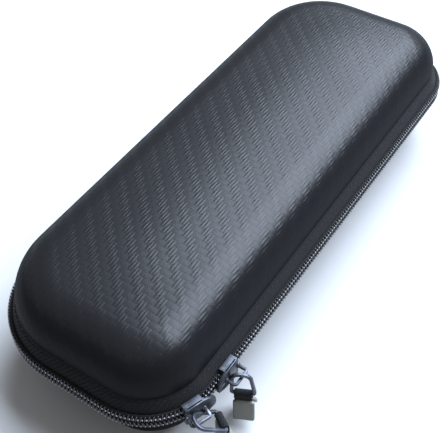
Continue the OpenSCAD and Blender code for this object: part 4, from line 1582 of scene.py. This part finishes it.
@dataclass
class Pocket:
    """The mesh pocket in the lid, with the cables and small tools in it."""

    mesh_z: float = 32.9
    front: float = -26.0
    middle: tuple[float, float] = (-62.0, 1.5)
    floor: float = 33.6
    cable: float = 1.8
    ferrule: float = 1.3
    coils: tuple[Coil, ...] = (
        Coil("cable_short", 350, 150, 2, Palette.CABLE, "cable_clear"),
        Coil("cable_medium", 560, 30, 1, Palette.CABLE, "cable_clear"),
        Coil("cable_long", 760, 90, 0, Palette.CABLE_OLIVE, "cable_olive"),
    )

    def at_level(self, level: int) -> Vector:
        """The middle of a coil on its level."""
        return Vector((*self.middle, self.floor + self.ferrule + level * (2 * self.ferrule + 0.1)))

    def mesh(self) -> None:
        """Stretched mesh sheet, pressed out a little by what it holds."""
        c = CASE
        inset = c.wall + c.laminate + 0.1
        shape = Shape("pocket_mesh_sheet")
        x, y = c.length / 2 - inset, c.width / 2 - inset
        shape.face([(a, b, self.mesh_z + 0.3) for a, b in ((-x, -y), (x, -y), (x, y), (-x, y))])
        shape.round_corners([v for v in shape.bm.verts if v.co.y < 0], c.front_r - inset, 8)
        shape.round_corners([v for v in shape.bm.verts if v.co.y > y - 0.01], c.hinge_r - inset, 8)
        geom = list(shape.bm.verts) + list(shape.bm.edges) + list(shape.bm.faces)
        bmesh.ops.bisect_plane(
            shape.bm, geom=geom, plane_co=(0, self.front, 0), plane_no=(0, -1, 0), clear_outer=True, dist=0.001,
        )
        cut_grid(shape, 5.0, (x, y))
        shape.lay(lambda co: (co.x, co.y))
        flat = sum(f.calc_area() for f in shape.bm.faces)
        shape.push(lambda co: co + Vector((0, 0, -0.5 * self.slack(co) * (0.4 + max(0.0, noise.noise(co * 0.05))))))
        piece = shape.done(Palette.MESH, "lid", "mesh", ["mesh_pocket"], 60)
        flat * MM * MM

    def slack(self, co: Vector) -> float:
        """How far a point lies from the mesh's sewn edges, up to 1."""
        x = CASE.length / 2 - 9 - abs(co.x)
        y = CASE.width / 2 - 9 - abs(co.y)
        return min(1.0, max(0.0, x / 20)) * min(1.0, max(0.0, y / 12))

    def edge(self) -> None:
        """Gathered elastic along the pocket's mouth."""
        c = CASE
        shape = Shape("pocket_mouth_band")
        x = c.length / 2 - 11.6
        y, z, turns = self.front - 0.8, self.mesh_z + 0.3, [i * math.tau / 8 for i in range(8)]
        ring = [(-x, y + 0.8 * math.cos(t), z + 0.5 * math.sin(t)) for t in turns]
        first = shape.line(ring, True)
        last = shape.run(first, Vector((1, 0, 0)), 2 * x, 150)
        bmesh.ops.contextual_create(shape.bm, geom=first)
        bmesh.ops.contextual_create(shape.bm, geom=last)
        shape.outwards()
        shape.push(lambda co: co + Vector((0, 0.12 * math.sin(co.x * 2.1), 0.1 * math.sin(co.x * 2.6 + 1.0))))
        shape.lay(lambda co: (co.x, co.y + co.z))
        shape.done(Palette.ELASTIC, "lid", "elastic", ["pocket_elastic"], 60)

    def wound(self, coil: Coil) -> None:
        """One cable as a smooth tube."""
        count = math.ceil(coil.turns * 48)
        curve = bpy.data.curves.new(coil.name, "CURVE")
        curve.dimensions = "3D"
        spline = curve.splines.new("POLY")
        spline.points.add(count)
        base = self.at_level(coil.level)
        for i in range(count + 1):
            spot = (base + coil.point(360 * coil.turns * i / count)) * MM
            spline.points[i].co = (*spot, 1.0)
        curve.bevel_depth = self.cable / 2 * MM
        curve.bevel_resolution = 2
        curve.use_fill_caps = True
        holder = bpy.data.objects.new("cable_curve", curve)
        mesh = bpy.data.meshes.new_from_object(holder)
        bpy.data.objects.remove(holder)
        shape = Shape(f"{coil.name}_tube")
        shape.bm.from_mesh(mesh)
        bpy.data.meshes.remove(mesh)
        shape.move(Matrix.Scale(1 / MM, 4))
        shape.done(coil.finish, "lid", coil.slot, [coil.name], 80)

    def ferrules(self) -> None:
        """Crimped ferrule and threaded stud on each cable's end."""
        shape = Shape("cable_end_ferrules")
        outline = [(0, 0), (0, 1.0), (0.3, 1.25), (2.0, 1.25), (2.2, 1.1), (2.5, 1.1), (2.7, 1.25)]
        outline += [(4.4, 1.25), (4.6, 1.1), (4.9, 1.1), (5.1, 1.3), (6.6, 1.3), (7.0, 1.05)]
        outline += [(7.1 + 0.35 * i, 0.98 if i % 2 else 0.78) for i in range(10)]
        outline += [(10.6, 0.8), (11.0, 0.55), (11.0, 0)]
        for coil in self.coils:
            for end in (0, 1):
                angle = end * 360 * coil.turns
                way = coil.way(angle) * (1 if end else -1)
                turned = Shape("ferrule")
                edges = turned.line([(a, r, 0) for a, r in outline])
                turned.turn(edges, (0, 0, 0), 360, 20, (1, 0, 0))
                turned.outwards()
                spin = Matrix.Rotation(math.atan2(way.y, way.x), 4, "Z")
                turned.move(Matrix.Translation(self.at_level(coil.level) + coil.point(angle)) @ spin)
                shape.join(turned)
        shape.done(Palette.BRIGHT, "lid", "bright", ["cable_ferrules"], 30)

    def tools(self) -> None:
        """Finishes of the small tools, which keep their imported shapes."""
        for node, finish in (
            ("needle_gauge", Palette.GAUGE), ("end_stoppers", Palette.STOPPER), ("cable_connectors", Palette.BRIGHT),
            ("tightening_keys", Palette.BRIGHT), ("stitch_markers", Palette.MARKER),
            ("darning_needles", Palette.BRIGHT),
        ):
            dress_node(node, finish)

    def build(self) -> None:
        """Makes the pocket's pieces."""
        self.mesh()
        self.edge()
        for coil in self.coils:
            self.wound(coil)
        self.ferrules()
        self.tools()


# ---- Stage -------------------------------------------------------------------------------------


@dataclass(frozen=True)
class Lamp:
    """A soft area light aimed at a point."""

    name: str
    place: tuple[float, float, float]
    size: tuple[float, float]
    power: float
    aim: tuple[float, float, float] = (0.0, 0.0, 0.03)
    colour: Colour = (0.74, 0.84, 1.0)

    def build(self) -> None:
        """Hangs the light."""
        data = bpy.data.lights.new(self.name, "AREA")
        data.shape = "RECTANGLE"
        data.size, data.size_y = self.size
        data.energy = self.power
        data.color = self.colour
        lamp = bpy.data.objects.new(self.name, data)
        bpy.context.scene.collection.objects.link(lamp)
        lamp.location = self.place
        way = Vector(self.aim) - Vector(self.place)
        lamp.rotation_euler = way.to_track_quat("-Z", "Y").to_euler()


@dataclass
class Stage:
    """Pale floor, soft lamps and the camera."""

    azimuth: float = -54.40
    elevation: float = 48.32
    roll: float = -2.16
    distance: float = 330.94
    side: float = -9.21
    rise: float = -14.22
    focal: float = 833.48
    frame_width: float = 441.0
    lamps: tuple[Lamp, ...] = (
        Lamp("sheen", (0.80, -0.24, 1.13), (1.60, 1.05), 112.0),
    )

    def floor(self) -> None:
        """Wide pale floor."""
        shape = Shape("floor")
        bmesh.ops.create_grid(shape.bm, x_segments=2, y_segments=2, size=6000.0)
        shape.move(Matrix.Translation((0, 0, -0.05)))
        mesh = bpy.data.meshes.new("floor")
        shape.move(Matrix.Scale(MM, 4))
        shape.bm.to_mesh(mesh)
        shape.bm.free()
        piece = bpy.data.objects.new("floor", mesh)
        bpy.context.scene.collection.objects.link(piece)
        mesh.materials.append(PaleFloor("pale_floor", (0.36, 0.36, 0.36), 0.9).material())

    def sky(self) -> None:
        """Even pale surroundings."""
        world = bpy.data.worlds.new("pale_surroundings")
        world.use_nodes = True
        shade = world.node_tree.nodes["Background"].inputs
        shade["Color"].default_value = (0.95, 0.97, 1.0, 1.0)
        shade["Strength"].default_value = 0.5
        bpy.context.scene.world = world
        bpy.context.scene.view_settings.view_transform = "Standard"

    def camera(self) -> None:
        """Camera at its measured place."""
        az, el, roll = (math.radians(a) for a in (self.azimuth, self.elevation, self.roll))
        back = Vector((math.sin(az) * math.cos(el), -math.cos(az) * math.cos(el), math.sin(el)))
        right = Vector((math.cos(az), math.sin(az), 0))
        up = back.cross(right)
        right, up = right * math.cos(roll) + up * math.sin(roll), up * math.cos(roll) - right * math.sin(roll)
        data = bpy.data.cameras.new("camera")
        data.sensor_width = 36.0
        data.lens = self.focal * 36.0 / self.frame_width
        data.clip_start, data.clip_end = 0.02, 20.0
        eye = bpy.data.objects.new("camera", data)
        bpy.context.scene.collection.objects.link(eye)
        turn = Matrix((right, up, back)).transposed().to_4x4()
        spot = back * self.distance + right * self.side + up * self.rise + Vector((0, 0, CASE.half))
        eye.matrix_world = Matrix.Translation(spot * MM) @ turn
        bpy.context.scene.camera = eye

    def build(self) -> None:
        """Sets the stage."""
        self.camera()
        self.floor()
        self.sky()
        for lamp in self.lamps:
            lamp.build()


def main() -> None:
    """Builds every sub-assembly."""
    logging.basicConfig(level=logging.INFO, format="%(message)s")
    c = CASE
    Stage().build()
    for half in (Half("base", -1), Half("lid", 1, c.crown, 1.4, 0.7)):
        half.build()
    Spine().build()
    front = Vector((-c.length / 2 + c.front_r + 9.6, -c.width / 2, c.half))
    Slider("a", front, 0.0, -1, PullPose(4, 0, 0, 24, 0, (14, 20))).build()
    turn = -20.0
    corner = Vector((-c.front / 2, -c.width / 2 + c.front_r, c.half))
    edge = corner + Matrix.Rotation(math.radians(turn), 3, "Z") @ Vector((0, -c.front_r, 0))
    Slider("b", edge, turn, 1, PullPose(0, 55, 14, 5, 50, (2, 6))).build()
    NeedleBoards().build()
    Pocket().build()
    bpy.context.view_layer.update()


if __name__ == "__main__":
    main()
